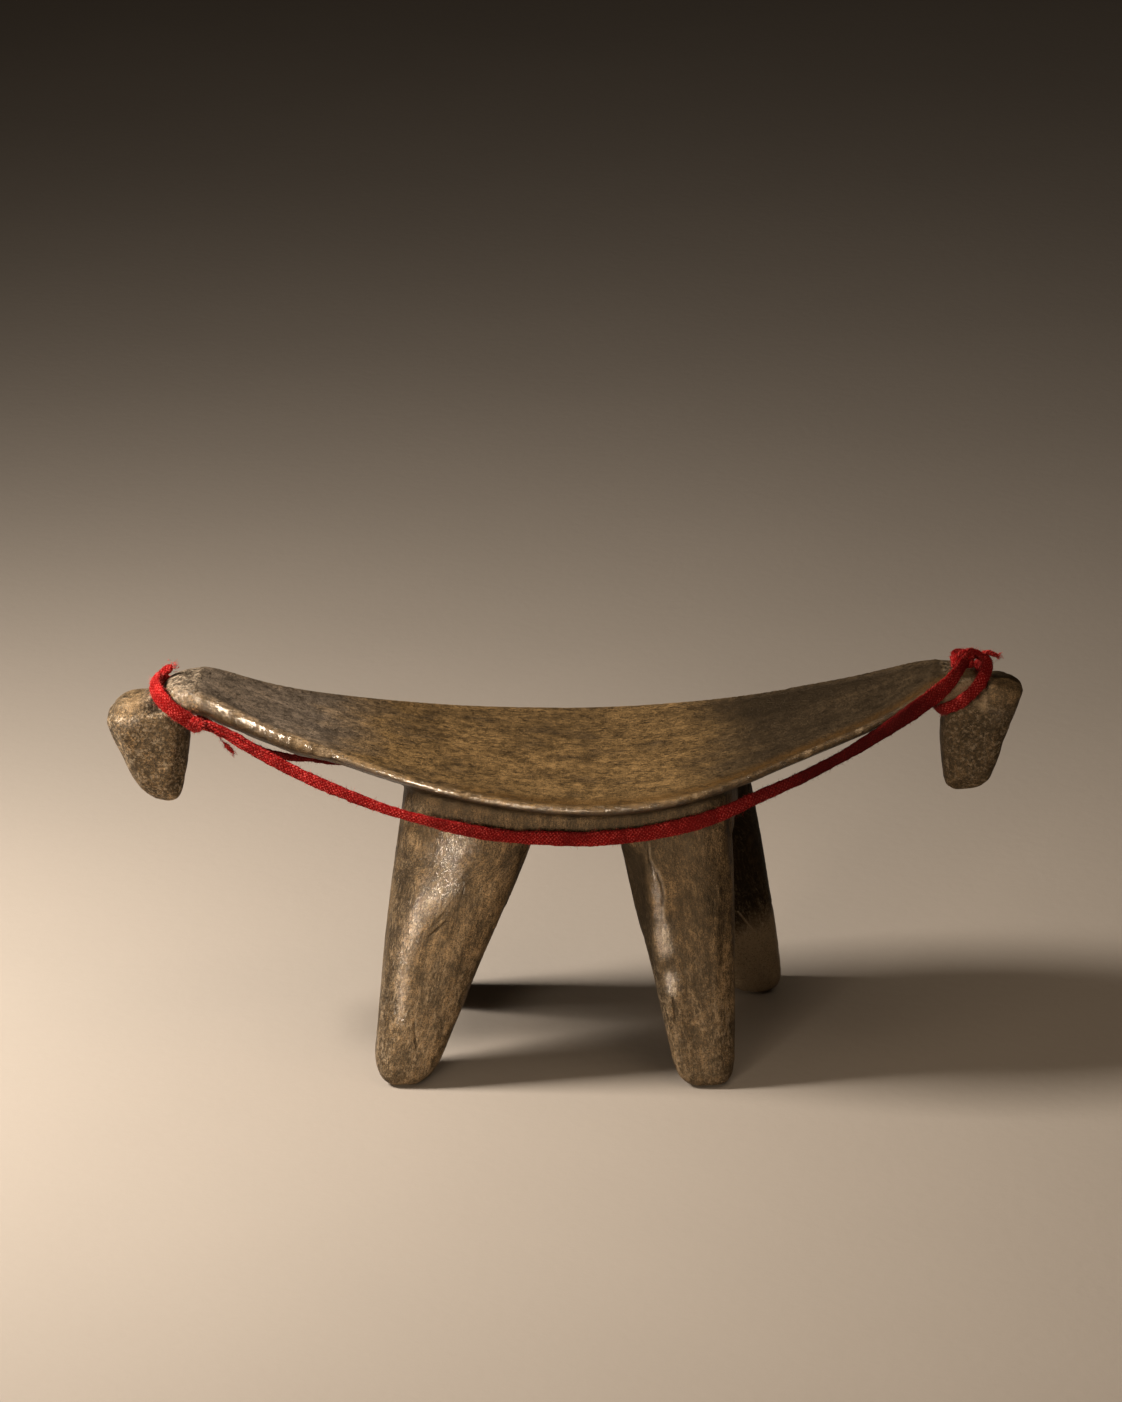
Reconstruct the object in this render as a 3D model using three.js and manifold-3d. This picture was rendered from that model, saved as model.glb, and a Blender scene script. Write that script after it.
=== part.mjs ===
// A hand-carved wooden headrest, cut from one block: a long dished seat that curves up
// to both ends, a short neck and a hanging knob past each end, and four splayed legs
// that grow out of a low body under the seat. A strip of red cloth is tied round the
// two necks and hangs along the front and the back as a carrying strap.
// Millimetres. X runs along the seat, the front is at -Y, +Z is up, the feet stand on Z = 0.

import * as THREE from "three";
import { mergeVertices } from "three/addons/utils/BufferGeometryUtils.js";
import Module from "manifold-3d";

const manifold = await Module();
manifold.setup();

// Stations along the seat: x, half width, height of the rim, thickness of the lip.
const SEAT = [
  [-164.2, 2.5, 154.4, 5],
  [-163, 7, 155.8, 8],
  [-160, 11.5, 157.4, 11],
  [-155, 14.8, 158.8, 12.5],
  [-148, 17.2, 159, 12.5],
  [-140, 19.6, 156.4, 11.2],
  [-132, 21.8, 152.9, 10.2],
  [-124, 24, 149.8, 9.8],
  [-108, 29, 144.3, 8.8],
  [-92, 34.2, 140, 8.2],
  [-76, 40, 135.9, 7.5],
  [-60, 45.6, 132.2, 7],
  [-43, 50.4, 129.1, 6.6],
  [-26, 54.3, 126.9, 6.2],
  [-8, 57.2, 125.5, 6.2],
  [8, 58.4, 125, 6.2],
  [24, 58.3, 125.6, 6.2],
  [40, 56.9, 127.2, 6],
  [55, 53.6, 129.7, 5.8],
  [72, 48, 133.7, 5.5],
  [88, 42.2, 138.6, 5.4],
  [104, 36.8, 143.7, 5.4],
  [120, 31.4, 149, 5.6],
  [136, 25.2, 155.6, 6.8],
  [145, 20.6, 159.8, 8.6],
  [154, 16.4, 162.3, 11],
  [161, 13.2, 162.6, 12],
  [166, 9.8, 161.6, 11],
  [168.6, 6, 160.2, 8],
  [169.6, 2.5, 158.8, 5],
];
const SEAT_STEPS = 44;
const SEAT_DISH = 3;
const SEAT_KEEL = 0.19;

// The body under the seat, where the legs part and further up.
const BODY = { x: 4.2, under: 102, halfX: 67.4, halfY: 44, topHalfX: 66.4, topHalfY: 41.4 };
const BODY_CORNER = 0.24;
const BODY_SKEW = 0.086;

// Each leg from its sole up into the seat: left, right, front and back edges.
const LEG_TOP = 124;
const LEG_CORNER = 0.5;
const LEG_BULGE = 1.2;
const FOOT_ROUND = 4.5;
const LEGS = {
  front_left: { sole: [-78.9, -54.6, -58, -33], top: [-65, -6.5, -41, 0] },
  front_right: { sole: [46.2, 69.6, -58, -33], top: [19.5, 66.8, -41, 0] },
  back_right: { sole: [69.5, 93.8, 36.5, 59], top: [24, 73.6, 0, 41.2] },
  back_left: { sole: [-67.4, -44, 26, 49], top: [-60.4, -3, 0, 41.2] },
};

// The two end knobs, bottom first. Each section: inner x and z, outer x and z, half depth.
const KNOBS = [
  {
    side: -1,
    neck: [158.5, 146.5],
    sections: [
      [160.5, 104.8, 167, 104.6, 3],
      [157.4, 108.8, 171.5, 107, 7],
      [155.2, 116, 177, 113, 9],
      [153.6, 125, 182, 124, 10.8],
      [153, 133.5, 186, 136, 11.8],
      [157, 139, 187.7, 143, 12.4],
      [163.5, 147.2, 186, 147.4, 11.8],
      [168, 151.4, 181, 149.6, 8.8],
    ],
  },
  {
    side: 1,
    neck: [163, 151.5],
    sections: [
      [160, 109.8, 169, 109.4, 3],
      [156, 112.4, 174, 112, 7],
      [154, 121, 179.4, 120.4, 9.2],
      [152.9, 130, 183, 131, 11],
      [153, 139, 186, 143, 12.2],
      [158.5, 145.5, 187.7, 150.5, 12.6],
      [166.5, 153, 186.6, 154.8, 12],
      [172, 158.6, 182.4, 157.2, 9],
    ],
  },
];
const NECK = { tilt: THREE.MathUtils.degToRad(51), up: 4, down: 11, halfHeight: 8.4, halfDepth: 9.8 };

// The cloth strap: its front run from the left neck to the right one, and its back run.
const STRAP = { width: 6.4, thickness: 1.8, frontSteps: 38, backSteps: 34, loopSteps: 20 };
const STRAP_FRONT = [
  [-150.5, -15.6, 143.8],
  [-144, -17, 143.1],
  [-135, -19.6, 139.5],
  [-126, -22.5, 135],
  [-108, -28.4, 127],
  [-90, -34.2, 120.9],
  [-75, -39, 116.7],
  [-66, -42.2, 114.9],
  [-56, -45.2, 113.2],
  [-46, -45.6, 110.8],
  [-26, -45.6, 106.9],
  [-2, -45.6, 105.6],
  [14, -45.6, 105.6],
  [30, -45.6, 107.4],
  [42, -45.6, 109.8],
  [54.5, -45.4, 113.1],
  [63, -43.8, 115.7],
  [78.5, -40.1, 121.8],
  [95, -36.3, 128.2],
  [111, -32.5, 135.5],
  [127, -29, 143.7],
  [135, -28, 148.2],
  [141, -26.6, 151.6],
  [147.5, -23.2, 155.2],
  [152.5, -20, 158.4],
  [156.6, -17.2, 162],
  [160.3, -11.5, 166.8],
  [164, -5, 168.4],
];
const STRAP_BACK = [
  [-153.4, 15, 144],
  [-150.4, 14.8, 141.4],
  [-149.4, 14.4, 136.6],
  [-144.4, 14, 130.2],
  [-137.5, 14, 126.4],
  [-130, 14.2, 123.2],
  [-121.2, 15.4, 120.4],
  [-113, 18.4, 117.6],
  [-105.5, 22.4, 113.8],
  [-98, 27.2, 110.8],
  [-84, 37, 107.4],
  [-72, 43, 105.4],
  [-60, 45.6, 104.6],
  [-40, 45.8, 105.2],
  [0, 45.8, 105.4],
  [40, 45.8, 105.6],
  [62, 46, 106],
  [80, 44.6, 109.4],
  [95, 41, 116],
  [110, 36.4, 124],
  [125, 31, 133],
  [139, 25.4, 142.4],
  [149, 19.6, 147.4],
  [156.6, 15.8, 149.8],
];

// A loop round each neck, and the short free ends.
const STRAP_LOOPS = [
  {
    axis: [-0.62, 0, -0.78],
    points: [
      [-168.6, 0, 156],
      [-168.2, -5, 155.4],
      [-166.4, -10, 153.2],
      [-162.8, -13.6, 149.8],
      [-158.2, -15, 146.8],
      [-153.6, -14.6, 144],
      [-149.8, -11, 141],
      [-148.6, -5, 139.2],
      [-148.6, 5, 139.2],
      [-149.8, 11, 141],
      [-153.6, 14.6, 144],
      [-158.2, 15, 146.8],
      [-162.8, 13.6, 149.8],
      [-166.4, 10, 153.2],
      [-168.2, 5, 155.4],
    ],
  },
  {
    axis: [0.68, 0, -0.73],
    points: [
      [173.2, 0, 164],
      [173, -4, 163.2],
      [171.2, -9.8, 160.6],
      [167, -14, 156],
      [160.6, -16, 151.8],
      [155.2, -15.2, 148.6],
      [151, -11.6, 145.6],
      [149.4, -5, 143.6],
      [149.4, 5, 143.6],
      [151, 11.6, 145.6],
      [155.2, 15.2, 148.6],
      [160.6, 16, 151.8],
      [167, 14, 156],
      [171.2, 9.8, 160.6],
      [173, 4, 163.2],
    ],
  },
];
const STRAP_ENDS = [
  [
    [-168, 3.4, 156],
    [-164.6, 6.2, 158.4],
    [-161.2, 7.8, 159.6],
    [-158, 9, 160.6],
  ],
  [
    [170, 0, 167.6],
    [175, 1.6, 168.2],
    [179.4, 3, 167],
  ],
];
const STRAP_KNOTS = [
  { at: [-150.6, -16, 143], size: [4.4, 3.2, 4.6] },
  { at: [166.4, 0.4, 167.4], size: [9.4, 5.4, 4.2] },
];

const WOOD = new THREE.MeshStandardMaterial({ color: 0x57472f, roughness: 0.4, metalness: 0 });

const CLOTH = new THREE.MeshStandardMaterial({ color: 0x9c1a1f, roughness: 0.9, metalness: 0 });

const { lerp, smoothstep } = THREE.MathUtils;

// A power that keeps its sign, for rounded-box sections.
function signedPower(value, power) {
  return Math.sign(value) * Math.abs(value) ** power;
}

// A ring of points round a closed section, from place(cosine, sine).
function ring(count, place) {
  return Array.from({ length: count }, (_, i) => {
    const angle = (2 * Math.PI * i) / count;
    return new THREE.Vector3(...place(Math.cos(angle), Math.sin(angle)));
  });
}

// A closed surface through rings of equal size: a flat fan shuts both ends, unless the
// last ring joins on to the first.
function loft(rings, looped = false) {
  const count = rings[0].length;
  const bands = looped ? rings.length : rings.length - 1;
  const points = rings.flat();
  const first = points.length;
  const last = first - count;
  const faces = [];
  for (let i = 0; i < count; i++) {
    const next = (i + 1) % count;
    for (let r = 0; r < bands; r++) {
      const low = r * count;
      const high = ((r + 1) % rings.length) * count;
      faces.push(low + i, low + next, high + next, low + i, high + next, high + i);
    }
    if (!looped) {
      faces.push(first, next, i, first + 1, last + i, last + next);
    }
  }
  if (!looped) {
    for (const end of [rings[0], rings.at(-1)]) {
      const middle = end.reduce((sum, p) => sum.add(p), new THREE.Vector3());
      points.push(middle.divideScalar(count));
    }
  }
  const geometry = new THREE.BufferGeometry();
  geometry.setAttribute(
    "position",
    new THREE.Float32BufferAttribute(points.flatMap((p) => p.toArray()), 3),
  );
  geometry.setIndex(faces);
  return geometry;
}

// A closed geometry as a solid that can be joined or cut, turned to face out.
function solid(geometry) {
  const merged = mergeVertices(geometry, 1e-4);
  const make = (triVerts) =>
    new manifold.Manifold(
      new manifold.Mesh({
        numProp: 3,
        vertProperties: new Float32Array(merged.attributes.position.array),
        triVerts,
      }),
    );
  const triangles = new Uint32Array(merged.index.array);
  const made = make(triangles);
  return made.volume() > 0 ? made : make(triangles.reverse());
}

function geometryOf(made) {
  const mesh = made.getMesh();
  const geometry = new THREE.BufferGeometry();
  geometry.setAttribute("position", new THREE.BufferAttribute(mesh.vertProperties, 3));
  geometry.setIndex(new THREE.BufferAttribute(mesh.triVerts, 1));
  geometry.computeVertexNormals();
  return geometry;
}

const seatTable = new THREE.CubicInterpolant(
  SEAT.map(([x]) => x),
  SEAT.flatMap(([, ...values]) => values),
  3,
  new Float32Array(3),
);

// The seat's half width, rim height and lip thickness at x.
function seatAt(x) {
  const [half, rim, lip] = seatTable.evaluate(x);
  return { half, rim, lip };
}

// Height of a surface that runs through the inside of the seat at x, y.
function insideSeat(x, y) {
  const { half, rim, lip } = seatAt(x);
  const across = 1 - Math.min(1, Math.abs(y) / half) ** 2;
  return rim - lip / 2 - across * (SEAT_DISH + SEAT_KEEL * half) * 0.5;
}

function seat() {
  const [start, end] = [SEAT[0][0], SEAT.at(-1)[0]];
  const rings = Array.from({ length: SEAT_STEPS + 1 }, (_, i) => {
    const eased = (1 - Math.cos((Math.PI * i) / SEAT_STEPS)) / 2;
    const x = lerp(start, end, lerp(i / SEAT_STEPS, eased, 0.75));
    const { half, rim, lip } = seatAt(x);
    const dish = SEAT_DISH * smoothstep(half, 8, 26);
    return ring(32, (c, s) => {
      const y = half * signedPower(c, s > 0 ? 0.7 : 0.85);
      const flat = Math.abs(y / half);
      const sink = s > 0 ? dish * (1 - flat ** 3) : SEAT_KEEL * half * (1 - flat ** 2);
      return [x, y, rim - lip / 2 + (lip / 2) * signedPower(s, s > 0 ? 0.5 : 0.7) - sink];
    });
  });
  return solid(loft(rings));
}

function body() {
  const { x, under, halfX, halfY, topHalfX, topHalfY } = BODY;
  const section = (spread, height) =>
    ring(40, (c, s) => {
      const y = spread * lerp(halfY, topHalfY, height) * signedPower(s, BODY_CORNER);
      const out = spread * lerp(halfX, topHalfX, height) * signedPower(c, BODY_CORNER);
      const skewed = x + out + BODY_SKEW * y;
      return [skewed, y, lerp(under, insideSeat(skewed, y), height)];
    });
  const wall = [section(0.95, 0), section(1, 0.06), section(1, 1)];
  return solid(loft([...wall, section(0.66, 1), section(0.33, 1)]));
}

function leg({ sole, top }) {
  const foot = [0, 0.12, 0.4, 1].map((t) => t * FOOT_ROUND);
  const shaft = Array.from({ length: 8 }, (_, i) => lerp(FOOT_ROUND, LEG_TOP - 4, (i + 1) / 8));
  const rings = [...foot, ...shaft].map((z) => {
    const t = z / LEG_TOP;
    const [left, right, front, back] = sole.map((low, k) => lerp(low, top[k], t));
    const under = Math.max(0, 1 - z / FOOT_ROUND);
    const swell = LEG_BULGE * Math.sin(Math.PI * t);
    const grow = swell - FOOT_ROUND * (1 - Math.sqrt(1 - under ** 2));
    return ring(24, (c, s) => {
      const x = (left + right) / 2 + ((right - left) / 2 + grow) * signedPower(c, LEG_CORNER);
      const y = (front + back) / 2 + ((back - front) / 2 + grow) * signedPower(s, LEG_CORNER);
      return [x, y, Math.min(z, insideSeat(x, y))];
    });
  });
  return solid(loft(rings));
}

function knob({ side, sections }) {
  const rings = sections.map(([innerX, innerZ, outerX, outerZ, halfDepth]) =>
    ring(22, (c, s) => {
      const t = (signedPower(c, 0.7) + 1) / 2;
      const x = lerp(innerX, outerX, t);
      return [side * x, halfDepth * signedPower(s, 0.7), lerp(innerZ, outerZ, t)];
    }),
  );
  return solid(loft(rings));
}

// The neck runs down and outwards from the underside of the seat's nose into the knob.
function neck({ side, neck: [x, z] }) {
  const [out, down] = [Math.cos(NECK.tilt), -Math.sin(NECK.tilt)];
  const rings = [-NECK.up, 2, NECK.down].map((along) =>
    ring(20, (c, s) => {
      const across = NECK.halfHeight * s;
      const px = x + along * out - across * down;
      return [side * px, NECK.halfDepth * c, z + along * down + across * out];
    }),
  );
  return solid(loft(rings));
}

// A flat strip of cloth along a line of points. Its width lies as near as it can to the
// direction given.
function ribbon(points, widthAlong, steps, looped = false) {
  const path = points.map((p) => new THREE.Vector3(...p));
  const curve = new THREE.CatmullRomCurve3(path, looped, "centripetal");
  const count = looped ? steps : steps + 1;
  const rings = Array.from({ length: count }, (_, i) => {
    const at = curve.getPointAt(i / steps);
    const tangent = curve.getTangentAt(i / steps);
    const wide = new THREE.Vector3(...widthAlong).projectOnPlane(tangent).normalize();
    const out = new THREE.Vector3().crossVectors(tangent, wide);
    return ring(8, (c, s) =>
      at
        .clone()
        .addScaledVector(wide, (STRAP.width / 2) * signedPower(c, 0.6))
        .addScaledVector(out, (STRAP.thickness / 2) * signedPower(s, 0.6))
        .toArray(),
    );
  });
  return solid(loft(rings, looped));
}

function knot({ at, size }) {
  const geometry = new THREE.SphereGeometry(1, 12, 8);
  geometry.deleteAttribute("normal");
  geometry.deleteAttribute("uv");
  return solid(geometry.scale(...size).translate(...at));
}

function joined(pieces) {
  return pieces.reduce((whole, piece) => whole.add(piece));
}

const carved = joined([
  seat(),
  body(),
  ...Object.values(LEGS).map(leg),
  ...KNOBS.flatMap((k) => [knob(k), neck(k)]),
]);

const tied = joined([
  ribbon(STRAP_FRONT, [0, 0, 1], STRAP.frontSteps),
  ribbon(STRAP_BACK, [0, 0, 1], STRAP.backSteps),
  ...STRAP_LOOPS.map(({ points, axis }) => ribbon(points, axis, STRAP.loopSteps, true)),
  ...STRAP_ENDS.map((points) => ribbon(points, [0.3, -1, 0], 4)),
  ...STRAP_KNOTS.map(knot),
]);

const headrest = new THREE.Mesh(geometryOf(carved), WOOD);
headrest.name = "headrest";

const strap = new THREE.Mesh(geometryOf(tied), CLOTH);
strap.name = "carry_strap";

const group = new THREE.Group();
group.add(headrest, strap);

export default group;
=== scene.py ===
import math

import bpy
import bmesh
import numpy as np
from bpy.props import FloatProperty, FloatVectorProperty, IntProperty, PointerProperty
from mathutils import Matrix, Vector, kdtree


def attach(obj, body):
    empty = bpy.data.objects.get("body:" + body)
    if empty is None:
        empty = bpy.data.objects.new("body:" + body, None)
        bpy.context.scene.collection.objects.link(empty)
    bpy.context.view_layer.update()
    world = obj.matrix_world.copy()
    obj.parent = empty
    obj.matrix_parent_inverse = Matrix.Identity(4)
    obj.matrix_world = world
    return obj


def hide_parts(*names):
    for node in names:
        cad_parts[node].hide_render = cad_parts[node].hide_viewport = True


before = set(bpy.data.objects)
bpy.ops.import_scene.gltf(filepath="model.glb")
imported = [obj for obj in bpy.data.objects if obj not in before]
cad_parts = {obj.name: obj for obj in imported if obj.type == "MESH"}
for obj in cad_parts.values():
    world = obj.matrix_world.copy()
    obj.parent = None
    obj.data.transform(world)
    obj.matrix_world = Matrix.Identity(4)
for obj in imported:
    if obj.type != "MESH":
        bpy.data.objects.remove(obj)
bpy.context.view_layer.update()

bl_info = {
    "name": "Carved Headrest",
    "version": (1, 0, 0),
    "blender": (4, 5, 0),
    "location": "3D View > Sidebar > Headrest",
    "description": "Builds a carved wooden headrest and the red cloth strap tied to it",
    "category": "Object",
}

MM = 0.001
BODY = "root"

# Places and sizes below are in millimetres. Stations along the seat: x, half width, height of the rim.
SEAT_STATIONS = np.array([
    (-164.2, 2.5, 154.4), (-160, 11.5, 157.4), (-155, 14.8, 158.8), (-148, 17.2, 159),
    (-140, 19.6, 156.4), (-124, 24, 149.8), (-108, 29, 144.3), (-92, 34.2, 140),
    (-76, 40, 135.9), (-60, 45.6, 132.2), (-43, 50.4, 129.1), (-26, 54.3, 126.9),
    (-8, 57.2, 125.5), (8, 58.4, 125), (24, 58.3, 125.6), (40, 56.9, 127.2),
    (55, 53.6, 129.7), (72, 48, 133.7), (88, 42.2, 138.6), (104, 36.8, 143.7),
    (120, 31.4, 149), (136, 25.2, 155.6), (145, 20.6, 159.8), (154, 16.4, 162.3),
    (161, 13.2, 162.6), (166, 9.8, 161.6), (169.6, 2.5, 158.8),
])

# Where each leg stands and where it meets the seat: centre x and y. The legs lie to either
# side of the body's middle.
LEG_TOP = 124.0
BODY_MIDDLE = 4
LEG_LINES = {
    (-1, -1): ((-66.75, -45.5), (-35.75, -20.5)),
    (1, -1): ((57.9, -45.5), (43.15, -20.5)),
    (1, 1): ((81.65, 47.75), (48.8, 20.6)),
    (-1, 1): ((-55.7, 37.5), (-31.7, 20.6)),
}


# Numbers


def smoothstep(x, low, high):
    t = np.clip((x - low) / (high - low), 0, 1)
    return t * t * (3 - 2 * t)


def lattice_value(cell, seed):
    """A fixed random value from -1 to 1 for each whole-number grid point."""
    x, y, z = cell.astype(np.uint64).T
    mixed = x * np.uint64(374761393) + y * np.uint64(668265263) + z * np.uint64(2246822519)
    mixed = mixed + np.uint64(seed * 3266489917 + 12345)
    mixed = (mixed ^ (mixed >> np.uint64(13))) * np.uint64(1274126177)
    mixed = (mixed ^ (mixed >> np.uint64(16))) & np.uint64(0xFFFFFF)
    return mixed.astype(float) / 0x7FFFFF - 1


def lumps(points, size, seed=0):
    """Smooth random values from -1 to 1 at points, in lumps of that size."""
    scaled = points / np.asarray(size, float) + 4096.0
    cell = np.floor(scaled).astype(np.int64)
    part = scaled - cell
    part = part * part * (3 - 2 * part)
    total = np.zeros(len(points))
    for corner in np.ndindex(2, 2, 2):
        weight = np.where(corner, part, 1 - part)
        total += weight[:, 0] * weight[:, 1] * weight[:, 2] * lattice_value(cell + corner, seed)
    return total


def blend(t, start, end, first, last):
    """The point between first and last that belongs to t between start and end."""
    return (end - t) / (end - start) * first + (t - start) / (end - start) * last


def smooth_line(points, step, closed=False):
    """Evenly spaced points on a smooth curve through the given ones."""
    given = np.asarray(points, float)
    if closed:
        given = np.vstack([given[-1], given, given[0], given[1]])
    else:
        given = np.vstack([2 * given[0] - given[1], given, 2 * given[-1] - given[-2]])
    dense = []
    for four in zip(given, given[1:], given[2:], given[3:]):
        gaps = [max(np.linalg.norm(b - a), 1e-9) ** 0.5 for a, b in zip(four, four[1:])]
        k0, k1, k2, k3 = np.cumsum([0] + gaps)
        t = np.linspace(k1, k2, 24, endpoint=False)[:, None]
        early = blend(t, k0, k1, four[0], four[1])
        middle = blend(t, k1, k2, four[1], four[2])
        late = blend(t, k2, k3, four[2], four[3])
        dense.append(blend(t, k1, k2, blend(t, k0, k2, early, middle), blend(t, k1, k3, middle, late)))
    dense = np.vstack([*dense, given[-2]])
    along = np.concatenate([[0], np.cumsum(np.linalg.norm(np.diff(dense, axis=0), axis=1))])
    even = np.linspace(0, along[-1], max(2, round(along[-1] / step) + 1))
    line = np.stack([np.interp(even, along, column) for column in dense.T], 1)
    return line[:-1] if closed else line


def unit(vectors):
    return vectors / np.maximum(np.linalg.norm(vectors, axis=-1, keepdims=True), 1e-12)


def seat_at(x):
    """Half width of the seat and height of its rim at x, in millimetres."""
    table = SEAT_STATIONS
    return np.interp(x, table[:, 0], table[:, 1]), np.interp(x, table[:, 0], table[:, 2])


def distance_to_line(points, line):
    """Distance of each point from a polyline, and how far along it the nearest point is."""
    line = np.asarray(line, float)
    best = np.full(len(points), 1e9)
    share = np.zeros(len(points))
    total = sum(np.linalg.norm(b - a) for a, b in zip(line, line[1:]))
    done = 0.0
    for a, b in zip(line, line[1:]):
        length = np.linalg.norm(b - a)
        t = np.clip(((points - a) @ (b - a)) / (length * length), 0, 1)
        away = np.linalg.norm(points - (a + t[:, None] * (b - a)), axis=1)
        nearer = away < best
        best[nearer] = away[nearer]
        share[nearer] = (done + t[nearer] * length) / total
        done += length
    return best, share


# Meshes


def values_of(collection, key, width=1, kind=float):
    """One value or row of values for each entry of a mesh's list."""
    values = np.empty(len(collection) * width, kind)
    collection.foreach_get(key, values)
    return values.reshape(-1, width) if width > 1 else values


def coordinates(mesh):
    return values_of(mesh.vertices, "co", 3)


def reshape(mesh, points):
    """Gives the mesh new points in millimetres, and returns its normals."""
    mesh.vertices.foreach_set("co", (points * MM).astype(np.float32).ravel())
    mesh.update()
    return values_of(mesh.vertex_normals, "vector", 3)


def neighbour_mean(values, pairs):
    """Mean of the neighbours' values at each vertex."""
    count = len(values)
    a, b = pairs.T
    degree = np.bincount(a, minlength=count) + np.bincount(b, minlength=count)
    columns = values.reshape(count, -1).T
    total = np.stack([np.bincount(a, c[b], count) + np.bincount(b, c[a], count) for c in columns], 1)
    return (total / np.maximum(degree, 1)[:, None]).reshape(values.shape)


def relax(points, pairs, rounds, keep_size=True):
    """Smooths the points. With keep_size the form doesn't shrink."""
    inward, outward = 0.55, 0.57
    for _ in range(rounds):
        points = points + inward * (neighbour_mean(points, pairs) - points)
        if keep_size:
            points = points - outward * (neighbour_mean(points, pairs) - points)
    return points


def store(mesh, name, values):
    """Keeps one number or vector a vertex in the mesh, for the material to read."""
    kind = "FLOAT" if values.ndim == 1 else "FLOAT_VECTOR"
    layer = mesh.attributes.get(name) or mesh.attributes.new(name, kind, "POINT")
    layer.data.foreach_set("value" if values.ndim == 1 else "vector", values.astype(np.float32).ravel())


def new_piece(name, mesh, material):
    """Puts a finished mesh in the scene as a piece of the headrest."""
    piece = bpy.data.objects.new(name, mesh)
    bpy.context.scene.collection.objects.link(piece)
    mesh.materials.clear()
    mesh.materials.append(material)
    mesh.polygons.foreach_set("use_smooth", np.ones(len(mesh.polygons), bool))
    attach(piece, BODY)
    return piece


def mesh_from(name, points, faces):
    mesh = bpy.data.meshes.new(name)
    mesh.from_pydata([tuple(p) for p in points], [], [tuple(f) for f in faces])
    mesh.update()
    return mesh


# Materials


class NodeSheet:
    """A material's nodes, added one call at a time. A socket given as an input is linked."""

    def __init__(self, name):
        old = bpy.data.materials.get(name)
        if old:
            bpy.data.materials.remove(old)
        self.material = bpy.data.materials.new(name)
        self.material.use_nodes = True
        self.tree = self.material.node_tree
        self.tree.nodes.clear()

    def add(self, kind, inputs=None, output=0, **settings):
        node = self.tree.nodes.new("ShaderNode" + kind)
        for key, value in settings.items():
            setattr(node, key, value)
        for key, value in (inputs or {}).items():
            socket = node.inputs[key]
            if isinstance(value, bpy.types.NodeSocket):
                self.tree.links.new(value, socket)
            else:
                socket.default_value = value
        return node.outputs[output]

    def math(self, operation, a, b=0.0, clamp=False):
        return self.add("Math", {0: a, 1: b}, operation=operation, use_clamp=clamp)

    def times(self, a, b, clamp=False):
        return self.math("MULTIPLY", a, b, clamp)

    def plus(self, a, b, clamp=False):
        return self.math("ADD", a, b, clamp)

    def scaled(self, vector, by):
        return self.add("VectorMath", {0: vector, 1: by}, operation="MULTIPLY")

    def read(self, name, vector=False):
        return self.add("Attribute", output="Vector" if vector else "Fac", attribute_name=name)

    def noise(self, vector, scale, detail=3.0, roughness=0.55, distortion=0.0):
        inputs = {"Vector": vector, "Scale": scale, "Detail": detail, "Roughness": roughness,
                  "Distortion": distortion}
        return self.add("TexNoise", inputs, output="Fac")

    def ramp(self, value, *stops):
        """Maps a number through (position, brightness) stops."""
        node = self.tree.nodes.new("ShaderNodeValToRGB")
        self.tree.links.new(value, node.inputs["Fac"])
        bar = node.color_ramp
        while len(bar.elements) < len(stops):
            bar.elements.new(0.5)
        for element, (position, shade) in zip(bar.elements, stops):
            element.position = position
            element.color = (*shade, 1) if hasattr(shade, "__len__") else (shade, shade, shade, 1)
        return node.outputs["Color"]

    def mix(self, factor, a, b, blend="MIX"):
        node = self.tree.nodes.new("ShaderNodeMix")
        node.data_type = "RGBA"
        node.blend_type = blend
        for socket, value in zip((node.inputs[0], node.inputs[6], node.inputs[7]), (factor, a, b)):
            if isinstance(value, bpy.types.NodeSocket):
                self.tree.links.new(value, socket)
            elif hasattr(value, "__len__"):
                socket.default_value = (*tuple(value)[:3], 1)
            else:
                socket.default_value = value
        return node.outputs[2]

    def bump(self, height, distance, strength=1.0, normal=None):
        inputs = {"Height": height, "Distance": distance, "Strength": strength}
        if normal is not None:
            inputs["Normal"] = normal
        return self.add("Bump", inputs)

    def finish(self, color, roughness, normal, coat=None, **fixed):
        """The surface. coat is how much of a polish lies on it, and that polish's own normal.
        Values in fixed are the same all over, and are set on the shader."""
        node = self.tree.nodes.new("ShaderNodeBsdfPrincipled")
        self.tree.links.new(color, node.inputs["Base Color"])
        self.tree.links.new(roughness, node.inputs["Roughness"])
        self.tree.links.new(normal, node.inputs["Normal"])
        if coat is not None:
            self.tree.links.new(coat[0], node.inputs["Coat Weight"])
            self.tree.links.new(coat[1], node.inputs["Coat Normal"])
        for key, value in fixed.items():
            node.inputs[key.replace("_", " ")].default_value = value
        out = self.tree.nodes.new("ShaderNodeOutputMaterial")
        self.tree.links.new(node.outputs[0], out.inputs[0])
        return self.material


def shades(color, *factors):
    return [tuple(min(1.0, c * f) for c in color) for f in factors]


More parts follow.
